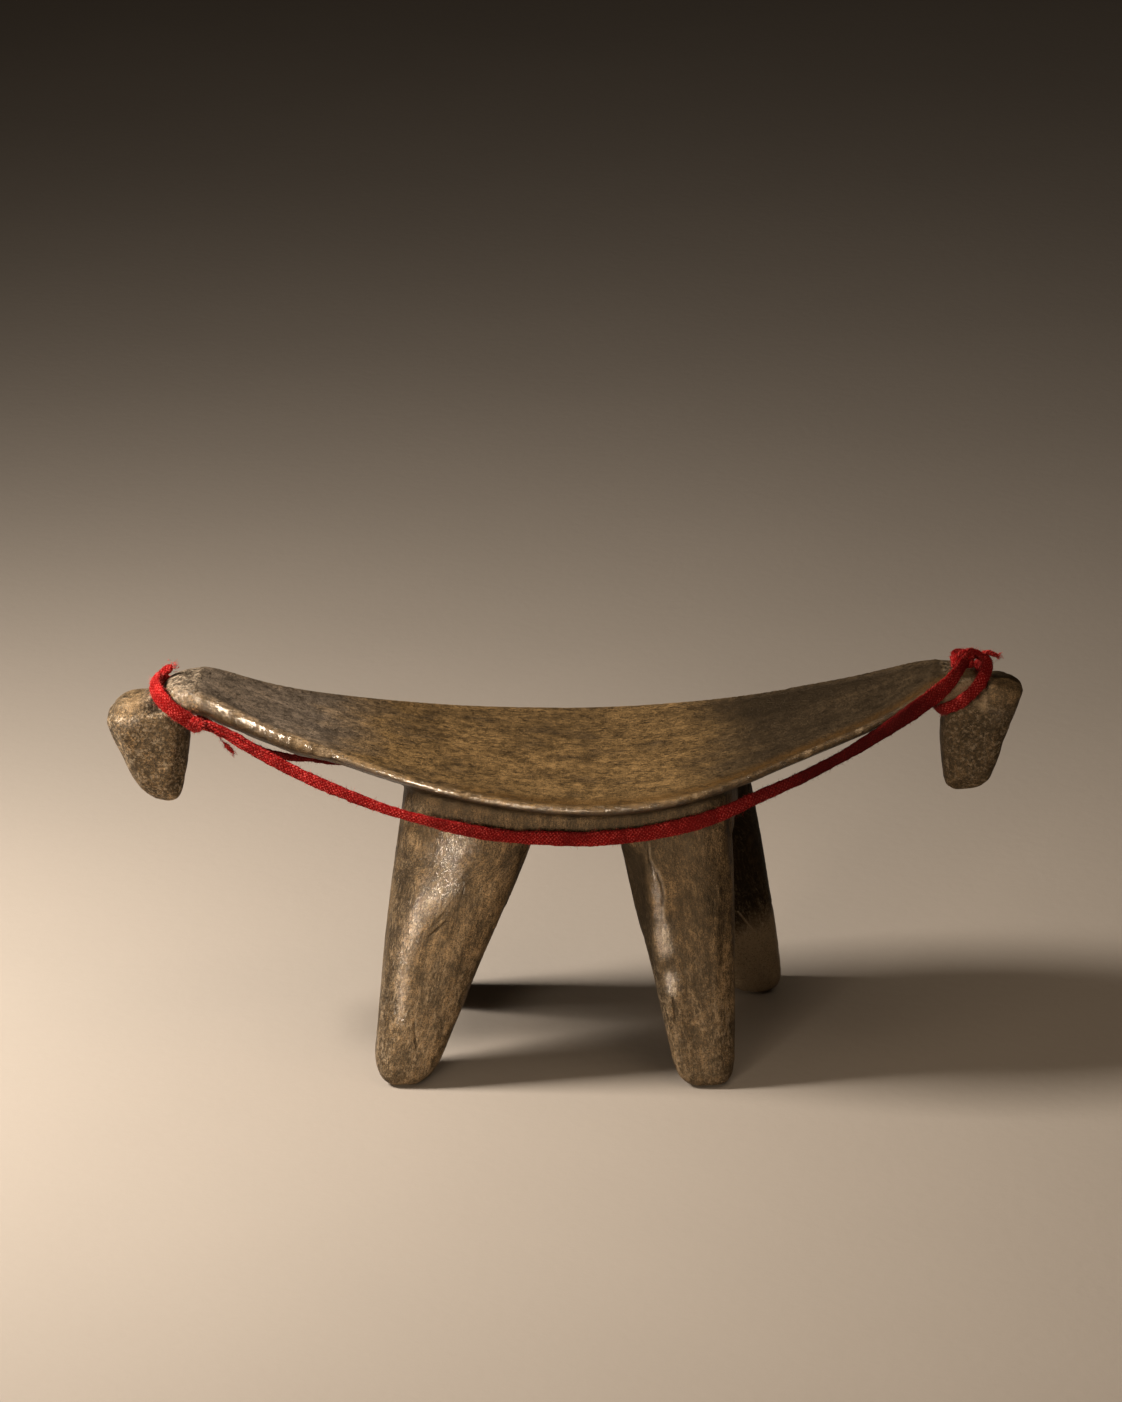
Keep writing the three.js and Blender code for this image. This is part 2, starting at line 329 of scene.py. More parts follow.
def oiled_wood(look):
    """Dark wood with an old oiled surface: streaked, darker in the hollows, rubbed on the edges and powdered
    with dirt in places, with painted shade, painted light, a painted reflection and painted glints mixed into
    its colour.
    """
    s = NodeSheet("oiled_wood")
    place = s.scaled(s.add("TexCoord", output="Object"), (1000, 1000, 1000))
    leg_place = s.read("leg_grain", vector=True)
    upright = s.read("upright")
    dish = s.read("dish")
    along_seat = s.scaled(place, (0.13, 1, 1))

    fibres = s.mix(upright, s.noise(s.scaled(place, (0.26, 1, 1)), 1.5, 3, 0.6, 0.3),
                   s.noise(s.scaled(leg_place, (1, 1, 0.2)), 1.5, 3, 0.6, 0.3))
    fibres = s.mix(s.read("knob"), fibres, s.noise(place, 0.8, 4, 0.7))
    bands = s.mix(upright, s.noise(along_seat, 0.2, 3, 0.6),
                  s.noise(s.scaled(leg_place, (1, 1, 0.16)), 0.3, 3, 0.6, 0.5))
    clouds = s.noise(place, 0.05, 3, 0.6)
    mottle = s.noise(place, 0.26, 4, 0.65)
    grit = s.noise(place, 1.9, 3, 0.7)
    speck = s.noise(place, 1.2, 3, 0.6)

    tone = s.plus(s.times(fibres, 0.24), s.times(mottle, 0.2))
    tone = s.plus(tone, s.times(bands, 0.12))
    tone = s.plus(tone, s.times(grit, 0.44))
    spots = (0.44, 0.5, 0.57)
    dark = s.ramp(tone, *zip(spots, shades(look.dark_color, 0.2, 0.85, 2.3)))
    gold = s.ramp(tone, *zip(spots, shades(look.golden_color, 0.3, 0.95, 1.75)))
    grey_reflection = s.ramp(tone, *zip(spots, shades(look.grey_reflection_color, 0.5, 1.0, 1.6)))
    # Painted reflection: the dish turns greyer towards its left end, standing for a bright reflection on it.
    color = s.mix(s.times(dish, s.read("reflection_left")), dark, grey_reflection)
    edge_of_gold = s.plus(s.read("golden"), s.times(s.math("SUBTRACT", clouds, 0.5), 0.9))
    edge_of_gold = s.plus(edge_of_gold, s.times(s.math("SUBTRACT", bands, 0.5), 0.5))
    color = s.mix(s.ramp(edge_of_gold, (0.1, 0.0), (0.95, 1.0)), color, gold)
    color = s.mix(1.0, color, s.ramp(clouds, (0.36, 0.7), (0.62, 1.15)), "MULTIPLY")
    blotches = s.noise(s.scaled(leg_place, (1, 1, 0.45)), 0.17, 4, 0.7)
    blotches = s.ramp(blotches, (0.39, 0.35), (0.5, 0.95), (0.61, 1.5))
    color = s.mix(s.math("SUBTRACT", 1.0, s.times(dish, 0.6)), color,
                  s.mix(1.0, color, blotches, "MULTIPLY"))
    # Painted shade: the wood goes very dark where the stored shade mask says, standing for shade.
    color = s.mix(s.times(s.read("painted_shade"), 0.95, clamp=True), color,
                  shades(look.dark_color, 0.1)[0])

    flecks = s.noise(s.scaled(leg_place, (1, 1, 0.35)), 1.3, 4, 0.75)
    rubbed = s.times(s.ramp(flecks, (0.5, 0.0), (0.62, 1.0)), s.read("rubbed"))
    rubbed = s.times(rubbed, s.ramp(bands, (0.42, 0.1), (0.58, 1.0)), clamp=True)
    color = s.mix(s.times(s.read("knob"), 0.4), color, shades(look.dark_color, 0.4)[0])
    grains = s.ramp(s.noise(place, 0.75, 4, 0.8), (0.42, 0.25), (0.5, 0.9), (0.58, 2.4))
    color = s.mix(s.read("knob"), color, s.mix(1.0, color, grains, "MULTIPLY"))
    # Bare wood where rubbed; the same colour also paints light on the back right foot and glints along the
    # shiny lines.
    color = s.mix(rubbed, color, tuple(look.bare_and_lit_color))

    edge = s.times(s.read("worn"), s.ramp(mottle, (0.4, 0.1), (0.6, 1.0)), clamp=True)
    # Edges rubbed lighter, and on the front rim's left part partly a painted highlight.
    color = s.mix(s.times(edge, 0.7), color, tuple(look.edge_and_glint_color))

    # Dust in the rough places, and painted light on the knob tops, the right nose and the back right foot, in
    # the same paler colour.
    dust_and_light = s.times(s.read("dust_and_painted_light"), s.ramp(s.noise(place, 0.7, 4, 0.75), (0.5, 0.0), (0.58, 1.0)))
    dust_and_light = s.times(dust_and_light, s.ramp(mottle, (0.42, 0.12), (0.58, 1.0)), clamp=True)
    color = s.mix(s.times(dust_and_light, 0.8), color, tuple(look.dust_and_light_color))
    # Pale where chipped, along crack lips and on the flake; also painted light on the right knob's top, the
    # right nose's front and the back right foot, and painted glints along the shiny lines.
    pale = s.times(s.read("pale"), s.ramp(grit, (0.4, 0.45), (0.56, 0.95)), clamp=True)
    color = s.mix(pale, color, tuple(look.bare_and_lit_color))

    pores = s.ramp(s.noise(s.scaled(place, (0.24, 1.2, 1.2)), 0.9, 2, 0.5), (0.34, 1.0), (0.41, 0.0))
    pores = s.times(pores, dish)
    color = s.mix(s.times(s.read("band"), s.ramp(mottle, (0.38, 0.5), (0.6, 1.0))), color,
                  s.mix(0.8, color, (0.066, 0.03, 0.006)))
    color = s.mix(s.times(pores, 0.7), color, (0.022, 0.014, 0.007))
    color = s.mix(s.times(s.read("hollow"), 0.85, clamp=True), color, (0.014, 0.01, 0.007))

    rough = s.plus(look.roughness, s.times(s.math("SUBTRACT", mottle, 0.5), 0.35))
    rough = s.plus(rough, s.times(s.math("SUBTRACT", grit, 0.5), 0.3))
    rough = s.plus(rough, s.times(dust_and_light, 0.3))
    rough = s.plus(rough, s.times(s.read("matt"), 0.3), clamp=True)
    shine = s.ramp(s.noise(leg_place, 1.0, 4, 0.8), (0.45, 0.0), (0.51, 1.0))
    shine = s.times(s.read("polished"), shine)
    shine = s.plus(shine, s.times(s.read("smooth"), 0.45), clamp=True)

    coarse = s.math("SUBTRACT", 1.0, s.times(s.read("smooth"), 0.85))
    normal = s.bump(bands, 0.0005, s.times(coarse, 0.3))
    normal = s.bump(fibres, 0.0003, s.times(coarse, 0.45), normal)
    normal = s.bump(speck, 0.0004, s.times(coarse, 0.75), normal)
    normal = s.bump(grit, 0.00028, s.times(coarse, 0.75), normal)
    normal = s.bump(s.times(pores, -1.0), 0.0004, 0.8, normal)
    unpolished = s.math("SUBTRACT", 1.0, s.read("smooth"))
    sparkle = s.bump(s.noise(s.scaled(leg_place, (1, 1, 0.5)), 1.1, 3, 0.6), 0.0005,
                     s.times(unpolished, 0.6, clamp=True), normal)
    return s.finish(color, rough, normal, (shine, sparkle), Coat_Roughness=0.13, Coat_IOR=1.7,
                    Specular_IOR_Level=0.17, Specular_Tint=(1, 0.76, 0.5, 1))


def felted_cloth(look):
    """Crimson cloth: a coarse weave felted by wear, with painted shade in its folds and where the strap lies
    in shade, and a light nap.
    """
    s = NodeSheet("felted_cloth")
    place = s.scaled(s.add("TexCoord", output="Object"), (1000, 1000, 1000))
    weave_place = s.read("weave_place", vector=True)
    fold_shade = s.read("fold_shade")
    fray = s.read("fray")
    weave = s.times(*(
        s.add("TexWave", {"Vector": threads, "Scale": 0.4, "Distortion": 2.6, "Detail": 2.0,
                          "Detail Scale": 1.2}, output="Fac", bands_direction="DIAGONAL")
        for threads in (weave_place, s.scaled(weave_place, (1, -1, 1)))))
    nap = s.noise(place, 1.5, 4, 0.75)
    stain = s.noise(place, 0.12, 4, 0.6)
    tone = s.plus(s.times(nap, 0.84), s.times(weave, 0.16))
    color = s.ramp(tone, (0.33, shades(look.cloth_color, 0.25)[0]), (0.47, tuple(look.cloth_color)),
                   (0.66, tuple(look.cloth_light)))
    color = s.mix(s.ramp(stain, (0.4, 0.65), (0.56, 0.0)), color, shades(look.cloth_color, 0.4)[0])
    # Painted shade in the valleys of the pleats.
    color = s.mix(s.times(fold_shade, 0.85, clamp=True), color, shades(look.cloth_color, 0.15)[0])
    color = s.mix(s.times(fray, 0.5, clamp=True), color, tuple(look.cloth_light))
    # Painted shade: the cloth goes very dark where the seat or the block shades it.
    color = s.mix(s.times(s.read("painted_cloth_shade"), 0.93, clamp=True), color,
                  shades(look.cloth_color, 0.12)[0])
    rough = s.ramp(nap, (0.3, 0.82), (0.7, 0.98))
    normal = s.bump(weave, 0.0004, 0.4)
    normal = s.bump(nap, 0.0007, 0.9, normal)
    return s.finish(color, rough, normal, Sheen_Weight=0.03, Sheen_Roughness=0.4,
                    Sheen_Tint=(0.9, 0.2, 0.16, 1), Specular_IOR_Level=0.03)


def plain_floor(look):
    s = NodeSheet("pale_floor")
    place = s.add("TexCoord", output="Object")
    cloud = s.noise(place, 2.2, 4, 0.6)
    grain = s.noise(place, 160.0, 3, 0.6)
    low = tuple(c * 0.93 for c in look.floor_color)
    color = s.ramp(cloud, (0.3, low), (0.7, tuple(look.floor_color)))
    rough = s.ramp(grain, (0.3, 0.78), (0.7, 0.9))
    return s.finish(color, rough, s.bump(grain, 0.0006, 0.25), Specular_IOR_Level=0.25)


# Camera, lights and floor


WARM = (1, 0.82, 0.64)


def make_camera(look):
    data = bpy.data.cameras.new("photo_camera")
    data.sensor_width = 36
    data.lens = look.lens
    data.clip_end = 50
    camera = bpy.data.objects.new("photo_camera", data)
    camera.location = look.camera_place
    camera.rotation_euler = (math.pi / 2 - look.camera_down, 0, 0)
    bpy.context.scene.collection.objects.link(camera)
    bpy.context.scene.camera = camera


def soft_light(name, place, target, size, power, color, only_gloss=False):
    data = bpy.data.lights.new(name, "AREA")
    data.shape = "RECTANGLE"
    data.size, data.size_y = size
    data.energy = power
    data.color = color
    light = bpy.data.objects.new(name, data)
    light.location = place
    light.visible_camera = False
    light.visible_diffuse = not only_gloss
    light.rotation_euler = (Vector(target) - Vector(place)).to_track_quat("-Z", "Y").to_euler()
    bpy.context.scene.collection.objects.link(light)


def make_floor(look):
    half = look.floor_half
    corners = [(-half, -half, 0), (half, -half, 0), (half, half, 0), (-half, half, 0)]
    mesh = mesh_from("floor", corners, [(0, 1, 2, 3)])
    mesh.materials.append(plain_floor(look))
    floor = bpy.data.objects.new("floor", mesh)
    floor.location.z = -0.0002
    bpy.context.scene.collection.objects.link(floor)


# The cloth strap

# Routes of the strap, in millimetres, as the solid strap has them.
FRONT_ROUTE = [
    (-150.5, -15.6, 143.8), (-144, -17, 143.1), (-135, -19.6, 139.5), (-126, -22.5, 135),
    (-108, -28.4, 127), (-90, -34.2, 120.9), (-75, -39, 116.7), (-66, -42.2, 114.9),
    (-56, -45.2, 113.2), (-46, -45.6, 110.8), (-26, -45.6, 106.9), (-2, -45.6, 105.6),
    (14, -45.6, 105.6), (30, -45.6, 107.4), (42, -45.6, 109.8), (54.5, -45.4, 113.1),
    (63, -43.8, 115.7), (78.5, -40.1, 121.8), (95, -36.3, 128.2), (111, -32.5, 135.5),
    (127, -29, 144.6), (135, -28, 149.8), (141, -26.2, 153.6), (147.2, -23, 157.2),
    (152, -20, 160), (156, -17, 162.8), (160.3, -11.5, 166.8), (164, -5, 168.4),
]
BACK_ROUTE = [
    (-153.4, 15, 144), (-150.4, 14.8, 141.4), (-149.2, 14.4, 136.2), (-144.4, 14, 130.6),
    (-137.5, 14, 126.8), (-130, 14.2, 123), (-121.2, 15.4, 118.8), (-113, 18.4, 115.8),
    (-105.5, 22.4, 113.8), (-98, 27.2, 110.8), (-84, 37, 107.4), (-72, 43, 105.4),
    (-60, 45.6, 104.6), (-40, 45.8, 105.2), (0, 45.8, 105.4), (40, 45.8, 105.6),
    (62, 46, 106), (80, 44.6, 109.4), (95, 41, 116), (110, 36.4, 124),
    (125, 31, 133), (139, 25.4, 142.4), (149, 19.6, 147.4), (156.6, 15.8, 149.8),
]
LEFT_LOOP = [
    (-167, 0, 156.8), (-166.8, -5, 156), (-164.9, -10, 154), (-161.2, -13.9, 151),
    (-156.8, -15.4, 147.8), (-152.9, -15, 144.9), (-149.8, -11, 141), (-148.6, -5, 139.2),
    (-148.6, 5, 139.2), (-149.8, 11, 141), (-153.6, 14.6, 144), (-158.2, 15, 146.8),
    (-162.4, 13.6, 149.8), (-165.6, 10, 153.4), (-167, 5, 156),
]
RIGHT_LOOP = [
    (171.8, 0, 166.4), (171.8, -4, 165.2), (169.8, -9.8, 162), (165.8, -14, 157.6),
    (160.2, -16, 153.2), (156, -14.8, 150.6), (153.2, -11.6, 148.4), (152.2, -5, 146.5),
    (152.2, 5, 146.5), (153.2, 11.6, 148.4), (156, 14.8, 149.8), (160.6, 16, 151.8),
    (167, 14, 156), (170.6, 9.8, 160.6), (171.8, 4, 165),
]
END_ROUTES = {
    "left": [(-166.6, 1.6, 156), (-164.6, 4.2, 158), (-162.4, 5.6, 159.6), (-160.4, 6.2, 160.6)],
    "right": [(169, 0, 167.6), (171.6, 0.6, 168.6), (174.4, 1.2, 167.8), (176.6, 2, 166.4)],
    "thread": [(-140.8, -17.6, 139.8), (-139.6, -16.4, 137), (-137.2, -15.4, 133.6), (-134.8, -15, 130.4)],
}
RIGHT_ARCH = [
    (157.4, -9, 165.6), (158.6, -7, 168), (161.2, -5, 169.6), (164.4, -3, 169.8),
    (168, -1, 168.2), (170.6, -0.6, 166), (172, -2, 163),
]


# Points round the strip, how square its section is, and how far the cloth's surface is uneven.
STRIP_SIDES = 30
STRIP_EDGE, STRIP_FACE = 0.7, 0.75
NAP_LUMPS = ((1.3, 0.2), (3.2, 0.16))


def ring_faces(count, closed):
    """Faces of a tube of rings. Unless it is a loop, its two ends are closed."""
    faces = []
    for ring in range(count if closed else count - 1):
        low, high = ring * STRIP_SIDES, ((ring + 1) % count) * STRIP_SIDES
        for k in range(STRIP_SIDES):
            n = (k + 1) % STRIP_SIDES
            faces.append((low + k, high + k, high + n, low + n))
    if not closed:
        faces.append(tuple(range(STRIP_SIDES)))
        faces.append(tuple(reversed(range((count - 1) * STRIP_SIDES, count * STRIP_SIDES))))
    return faces


def strip_directions(line, share, wide_along, turn, closed):
    """Across the strip and out of it, at each point of its line."""
    tangent = unit(np.roll(line, -1, 0) - np.roll(line, 1, 0) if closed else np.gradient(line, axis=0))
    toward = np.asarray(wide_along, float)
    wide = unit(toward - (tangent @ toward)[:, None] * tangent)
    out = np.cross(tangent, wide)
    angle = np.radians(np.interp(share, *zip(*turn)))[:, None]
    return np.cos(angle) * wide + np.sin(angle) * out, np.cos(angle) * out - np.sin(angle) * wide


def ribbon(name, route, width, thick, wide_along, turn=((0, 0), (1, 0)), closed=False, seed=1,
           fuzz=6.0, pleats=((0, 0.12), (1, 0.12)), painted_cloth_shade=0.0):
    """A strip of felted cloth along a route in millimetres. width, thick, turn and pleats are
    tables of (share of the length, value). turn twists the strip about its line, in degrees,
    pleats gathers it into lengthwise folds, from 0 to 1, and fuzz is fibres a millimetre."""
    line = smooth_line(route, 1.0, closed)
    count = len(line)
    share = np.arange(count) / (count if closed else count - 1)
    along = share * np.linalg.norm(np.diff(line, axis=0), axis=1).sum()
    wide, out = strip_directions(line, share, wide_along, turn, closed)
    walk = np.stack([along, np.full(count, seed * 7.3), np.zeros(count)], 1)
    half = np.interp(share, *zip(*width)) / 2
    half = half * (1 + 0.07 * lumps(walk, 5, seed) + 0.04 * lumps(walk, 1.7, seed + 1))
    deep = np.interp(share, *zip(*thick)) / 2 * (1 + 0.16 * lumps(walk, 4, seed + 2))
    if not closed:
        near_end = np.minimum(along, along[-1] - along)
        half = half * np.sqrt(np.clip((near_end + 0.5) / 2.2, 0.05, 1))
        deep = deep * np.sqrt(np.clip((near_end + 0.4) / 1.6, 0.05, 1))
    gathered = np.interp(share, *zip(*pleats))
    angles = 2 * np.pi * np.arange(STRIP_SIDES) / STRIP_SIDES
    across = np.sign(np.cos(angles)) * np.abs(np.cos(angles)) ** STRIP_EDGE
    rise = np.sign(np.sin(angles)) * np.abs(np.sin(angles)) ** STRIP_FACE
    spots, place, folds = [], [], []
    for i in range(count):
        wander = 0.14 * math.sin(along[i] * 0.13 + seed) + 0.05 * math.sin(along[i] * 0.41)
        valley = np.clip(-np.cos((across - wander) * 7.2), 0, 1) ** 2 * gathered[i]
        height = deep[i] * rise * (1 - 0.5 * valley)
        spots.append(line[i] + np.outer(across * half[i], wide[i]) + np.outer(height, out[i]))
        place.append(np.stack([np.full(STRIP_SIDES, along[i]), across * half[i], rise * deep[i]], 1))
        folds.append(valley)
    points = np.vstack(spots)
    middle = np.repeat(line, STRIP_SIDES, 0)
    nap = sum(height * lumps(points, size, seed + 3 + k) for k, (size, height) in enumerate(NAP_LUMPS))
    points = points + unit(points - middle) * nap[:, None]
    rng = np.random.default_rng(seed)
    wanted = int(along[-1] * fuzz)
    fibres, fibre_faces, roots = fibre_meshes(rng, points, unit(points - middle), wanted, 0.5, 1.5)
    place, folds = np.vstack(place), np.concatenate(folds)
    cloth = {"weave_place": np.vstack([place, place[roots] + 0.3]),
             "fold_shade": np.concatenate([folds, folds[roots] * 0.3]),
             "fray": np.repeat((0.0, 1.0), (len(points), len(fibres)))}
    points = np.vstack([points, fibres])
    faces = ring_faces(count, closed) + shifted(fibre_faces, count * STRIP_SIDES)
    # Painted shade: the strip darkens from 20 mm right of the middle, where the seat shades it, less towards
    # its right end, and never less than the shade asked for.
    in_shade = smoothstep(points[:, 0], 20, 110) * (1 - 0.6 * smoothstep(points[:, 0], 136, 156))
    return cloth_mesh(name, points, faces, {**cloth, "painted_cloth_shade": np.maximum(in_shade, painted_cloth_shade)}), line


def shifted(faces, by):
    return [tuple(by + i for i in face) for face in faces]


def cloth_mesh(name, points, faces, cloth):
    """A mesh with what the cloth's material reads: where its weave lies, painted shade in its folds, loose
    fibres and painted shade along the strap.
    """
    mesh = mesh_from(name, points * MM, faces)
    for key, values in cloth.items():
        store(mesh, key, values)
    return mesh


def fibre_meshes(rng, points, outward, count, shortest, longest, thickness=0.06, spread=0.9):
    """Loose fibres standing off a surface: thin bent prisms, each from a random point."""
    spots, faces, roots = [], [], []
    for which in rng.integers(0, len(points), count):
        direction = unit(outward[which] + spread * rng.normal(size=3))
        if direction @ outward[which] < 0:
            direction = -direction
        bend = rng.normal(size=3) * 0.5
        length = rng.uniform(shortest, longest)
        side = unit(np.cross(direction, rng.normal(size=3)))
        other = np.cross(direction, side)
        base = len(spots)
        for step, radius in ((-0.15, 1.0), (0.45, 0.8), (1.0, 0.35)):
            centre = points[which] + length * (step * direction + 0.5 * step * abs(step) * bend)
            for k in range(3):
                a = 2 * math.pi * k / 3
                spots.append(centre + thickness * radius * (math.cos(a) * side + math.sin(a) * other))
        roots += [which] * 9
        for low in (base, base + 3):
            for k in range(3):
                n = (k + 1) % 3
                faces.append((low + k, low + n, low + 3 + n, low + 3 + k))
        faces += [(base + 2, base + 1, base), (base + 6, base + 7, base + 8)]
    return np.array(spots).reshape(-1, 3), faces, np.array(roots, int)


def knot_route(at, size, tilt):
    """The line of an overhand knot pulled up small, in millimetres."""
    t = np.linspace(0, 2 * np.pi, 40, endpoint=False)
    x = (np.sin(t) + 2 * np.sin(2 * t)) / 3
    y = np.sin(3 * t)
    z = (np.cos(t) - 2 * np.cos(2 * t)) / 3
    c, s = math.cos(tilt), math.sin(tilt)
    x, z = c * x - s * z, s * x + c * z
    return np.stack([at[0] + size[0] * x, at[1] + size[1] * y, at[2] + size[2] * z], 1)


def wrap_route(at, axis, radius, pitch, turns, squeeze):
    """The line of a strip wound a few times round the strap."""
    axis = unit(np.asarray(axis, float))
    side = unit(np.cross(axis, (0, 1, 0)))
    t = np.linspace(0, 2 * np.pi * turns, int(14 * turns))
    along = pitch * (t / (2 * np.pi) - turns / 2)
    return (np.asarray(at, float) + np.outer(along, axis) + np.outer(radius * np.cos(t), side)
            + np.outer(radius * squeeze * np.sin(t), np.cross(side, axis)))


def torn_end(name, route, width, wide_along, seed, threads=60, start=1.0, thick=2.2):
    """A short free end whose threads have come apart at the tip. start is the share of its
    width that it begins with."""
    first = width * start
    mesh, line = ribbon(name, route, ((0, first), (0.45, first), (0.6, width), (1, width * 0.8)),
                        ((0, min(thick, first)), (0.6, thick), (1, thick * 0.8)), wide_along,
                        ((0, 0), (1, 40)), seed=seed, fuzz=16)
    rng = np.random.default_rng(seed + 50)
    tip = line[-1] + rng.normal(size=(40, 3)) * (0.2 * width)
    outward = np.tile(unit(line[-1] - line[-3]), (len(tip), 1))
    spots, thread_faces, _ = fibre_meshes(rng, tip, outward, threads, 0.6, 1.9, 0.09, 0.45)
    points = np.vstack([coordinates(mesh) / MM, spots])
    faces = [tuple(p.vertices) for p in mesh.polygons] + shifted(thread_faces, len(mesh.vertices))
    place, fold_shade, fray = (mesh.attributes[key].data for key in ("weave_place", "fold_shade", "fray"))
    cloth = {"weave_place": np.vstack([values_of(place, "vector", 3), spots]),
             "fold_shade": np.concatenate([values_of(fold_shade, "value"), np.zeros(len(spots))]),
             "fray": np.concatenate([values_of(fray, "value"), np.ones(len(spots))]),
             "painted_cloth_shade": np.zeros(len(points))}
    bpy.data.meshes.remove(mesh)
    return cloth_mesh(name, points, faces, cloth)


def hanging_runs(look):
    """The front and back runs of the strap, and the line of each."""
    width, thick = look.width / MM, look.thickness / MM
    even = flat(thick)
    front_widths = ((0, 0.62), (0.05, 0.8), (0.12, 0.85), (0.2, 0.82), (0.275, 0.66), (0.36, 0.86), (0.5, 1),
                    (0.6, 1), (0.7, 0.84), (0.8, 0.7), (0.87, 1.0), (0.93, 1.26), (1, 1.0))
    back_widths = ((0, 0.6), (0.05, 0.42), (0.2, 0.42), (0.3, 0.9), (0.5, 1), (1, 0.85))
    # Painted shade: a little along the front run, much along the back run, which lies behind the block.
    front, front_line = ribbon(
        "strap_front", FRONT_ROUTE, [(share, width * part) for share, part in front_widths], even, (0, 0, 1),
        ((0, -10), (0.25, 8), (0.5, 0), (0.75, -8), (1, 0)), seed=look.seed,
        pleats=((0, 1), (0.05, 1), (0.13, 0.25), (0.2, 0), (0.9, 0), (1, 0.6)), painted_cloth_shade=0.24)
    back, back_line = ribbon("strap_back", BACK_ROUTE, [(share, width * part) for share, part in back_widths],
                             even, (0, 0, 1), seed=look.seed + 10, painted_cloth_shade=0.8)
    return front, front_line, back, back_line


def flat(value):
    """A table that has the same value all along."""
    return ((0, value), (1, value))


def neck_loops(look):
    left, _ = ribbon("strap_loop_left", LEFT_LOOP, flat(look.width / MM * 0.98), flat(2.6), (-0.62, 0, -0.78),
                     closed=True, seed=look.seed + 20, fuzz=12)
    right, _ = ribbon("strap_loop_right", RIGHT_LOOP, flat(look.width / MM * 0.85), flat(2.4),
                      (0.68, 0, -0.73), closed=True, seed=look.seed + 30, fuzz=9)
    return left, right


def knots(look):
    """The wrap at the left neck, and the arch and the bunched knot at the right one."""
    wrap_along = (0.9, -0.2, -0.35)
    wrap, _ = ribbon("strap_wrap_left", wrap_route((-149.8, -16.6, 144.2), wrap_along, 2.2, 1.7, 3, 0.8),
                     flat(2.4), flat(1.5), wrap_along, seed=look.seed + 40, fuzz=10, pleats=flat(0.5))
    arch, _ = ribbon("strap_arch_right", RIGHT_ARCH, ((0, 3.4), (0.3, 5.4), (0.7, 5.6), (1, 4.6)),
                     ((0, 2.4), (0.5, 3.4), (1, 2.4)), (-0.25, -0.8, 0.5), seed=look.seed + 90, fuzz=12,
                     pleats=((0, 0.4), (0.5, 0.8), (1, 0.4)))
    bunch, _ = ribbon("strap_knot_right", knot_route((162.6, -2.6, 167.4), (4.4, 3.2, 2.2), 0.2), flat(3.8),
                      flat(2.6), (0.2, 1, 0.3), closed=True, seed=look.seed + 50, fuzz=9)
    return wrap, arch, bunch


def torn_ends(look):
    return (
        torn_end("strap_end_left", END_ROUTES["left"], 4.4, (0.3, -1, 0), look.seed + 60),
        torn_end("strap_end_right", END_ROUTES["right"], 3.3, (0.3, -0.6, 0.7), look.seed + 70),
        torn_end("strap_thread_left", END_ROUTES["thread"], 2.3, (0.6, 0, 1), look.seed + 80, 10, 0.12, 0.9),
    )


# The carved block


def solid_as_fine_mesh(node, voxel):
    """The solid's form as one even, fine mesh."""
    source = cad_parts[node]
    copy = bpy.data.objects.new("working_block", source.data.copy())
    bpy.context.scene.collection.objects.link(copy)
    modifier = copy.modifiers.new("even_mesh", "REMESH")
    modifier.mode = "VOXEL"
    modifier.voxel_size = voxel
    depsgraph = bpy.context.evaluated_depsgraph_get()
    mesh = bpy.data.meshes.new_from_object(copy.evaluated_get(depsgraph))
    data = copy.data
    bpy.data.objects.remove(copy)
    bpy.data.meshes.remove(data)
    mesh.materials.clear()
    return mesh


def legs(points):
    """Each leg's key, the centres of its sole and top, and which points are on its side."""
    x, y, _ = points.T
    for (side, face), (sole, top) in LEG_LINES.items():
        own = (np.sign(x - BODY_MIDDLE) == side) & (np.sign(y) == face)
        yield (side, face), np.array(sole), np.array(top), own


def leg_shift(points):
    """How far the nearest leg leans out from its top at each point, in x and y."""
    z = points[:, 2]
    shift = np.zeros((len(points), 2))
    down = np.clip(1 - z / LEG_TOP, 0, 1)
    for _, sole, top, own in legs(points):
        shift[own] = np.outer(down, sole - top)[own]
    return shift * (1 - smoothstep(z, 84, 102))[:, None]


def shave(points, normals, pairs, weight, cell, stretch, depth, limit, seed):
    """Cuts shallow flat facets, as a blade leaves them. Facets are about cell across, longer
    along z by stretch, and no point goes deeper than limit."""
    area_each, neighbours, same_side = 1.6, 4, 0.6
    rng = np.random.default_rng(seed)
    chosen = np.flatnonzero(weight > 0.3)
    soft_normals = unit(relax(normals, pairs, 8, False))
    wanted = max(8, int(len(chosen) * area_each / (cell * cell * stretch)))
    centres = rng.choice(chosen, wanted, replace=False)
    squeeze = np.array([1, 1, 1 / stretch])
    tree = kdtree.KDTree(len(centres))
    for k, index in enumerate(centres):
        tree.insert(points[index] * squeeze, k)
    tree.balance()
    lowered = depth * rng.uniform(0.5, 1.3, len(centres))
    moved = points.copy()
    for index in np.flatnonzero(weight > 0.02):
        cut = 0.0
        for _, k, _ in tree.find_n(points[index] * squeeze, neighbours):
            centre = centres[k]
            if soft_normals[centre] @ normals[index] >= same_side:
                height = (points[index] - points[centre]) @ soft_normals[centre] + lowered[k]
                cut = max(cut, height)
        moved[index] = points[index] - normals[index] * min(cut, limit) * weight[index]
    return moved


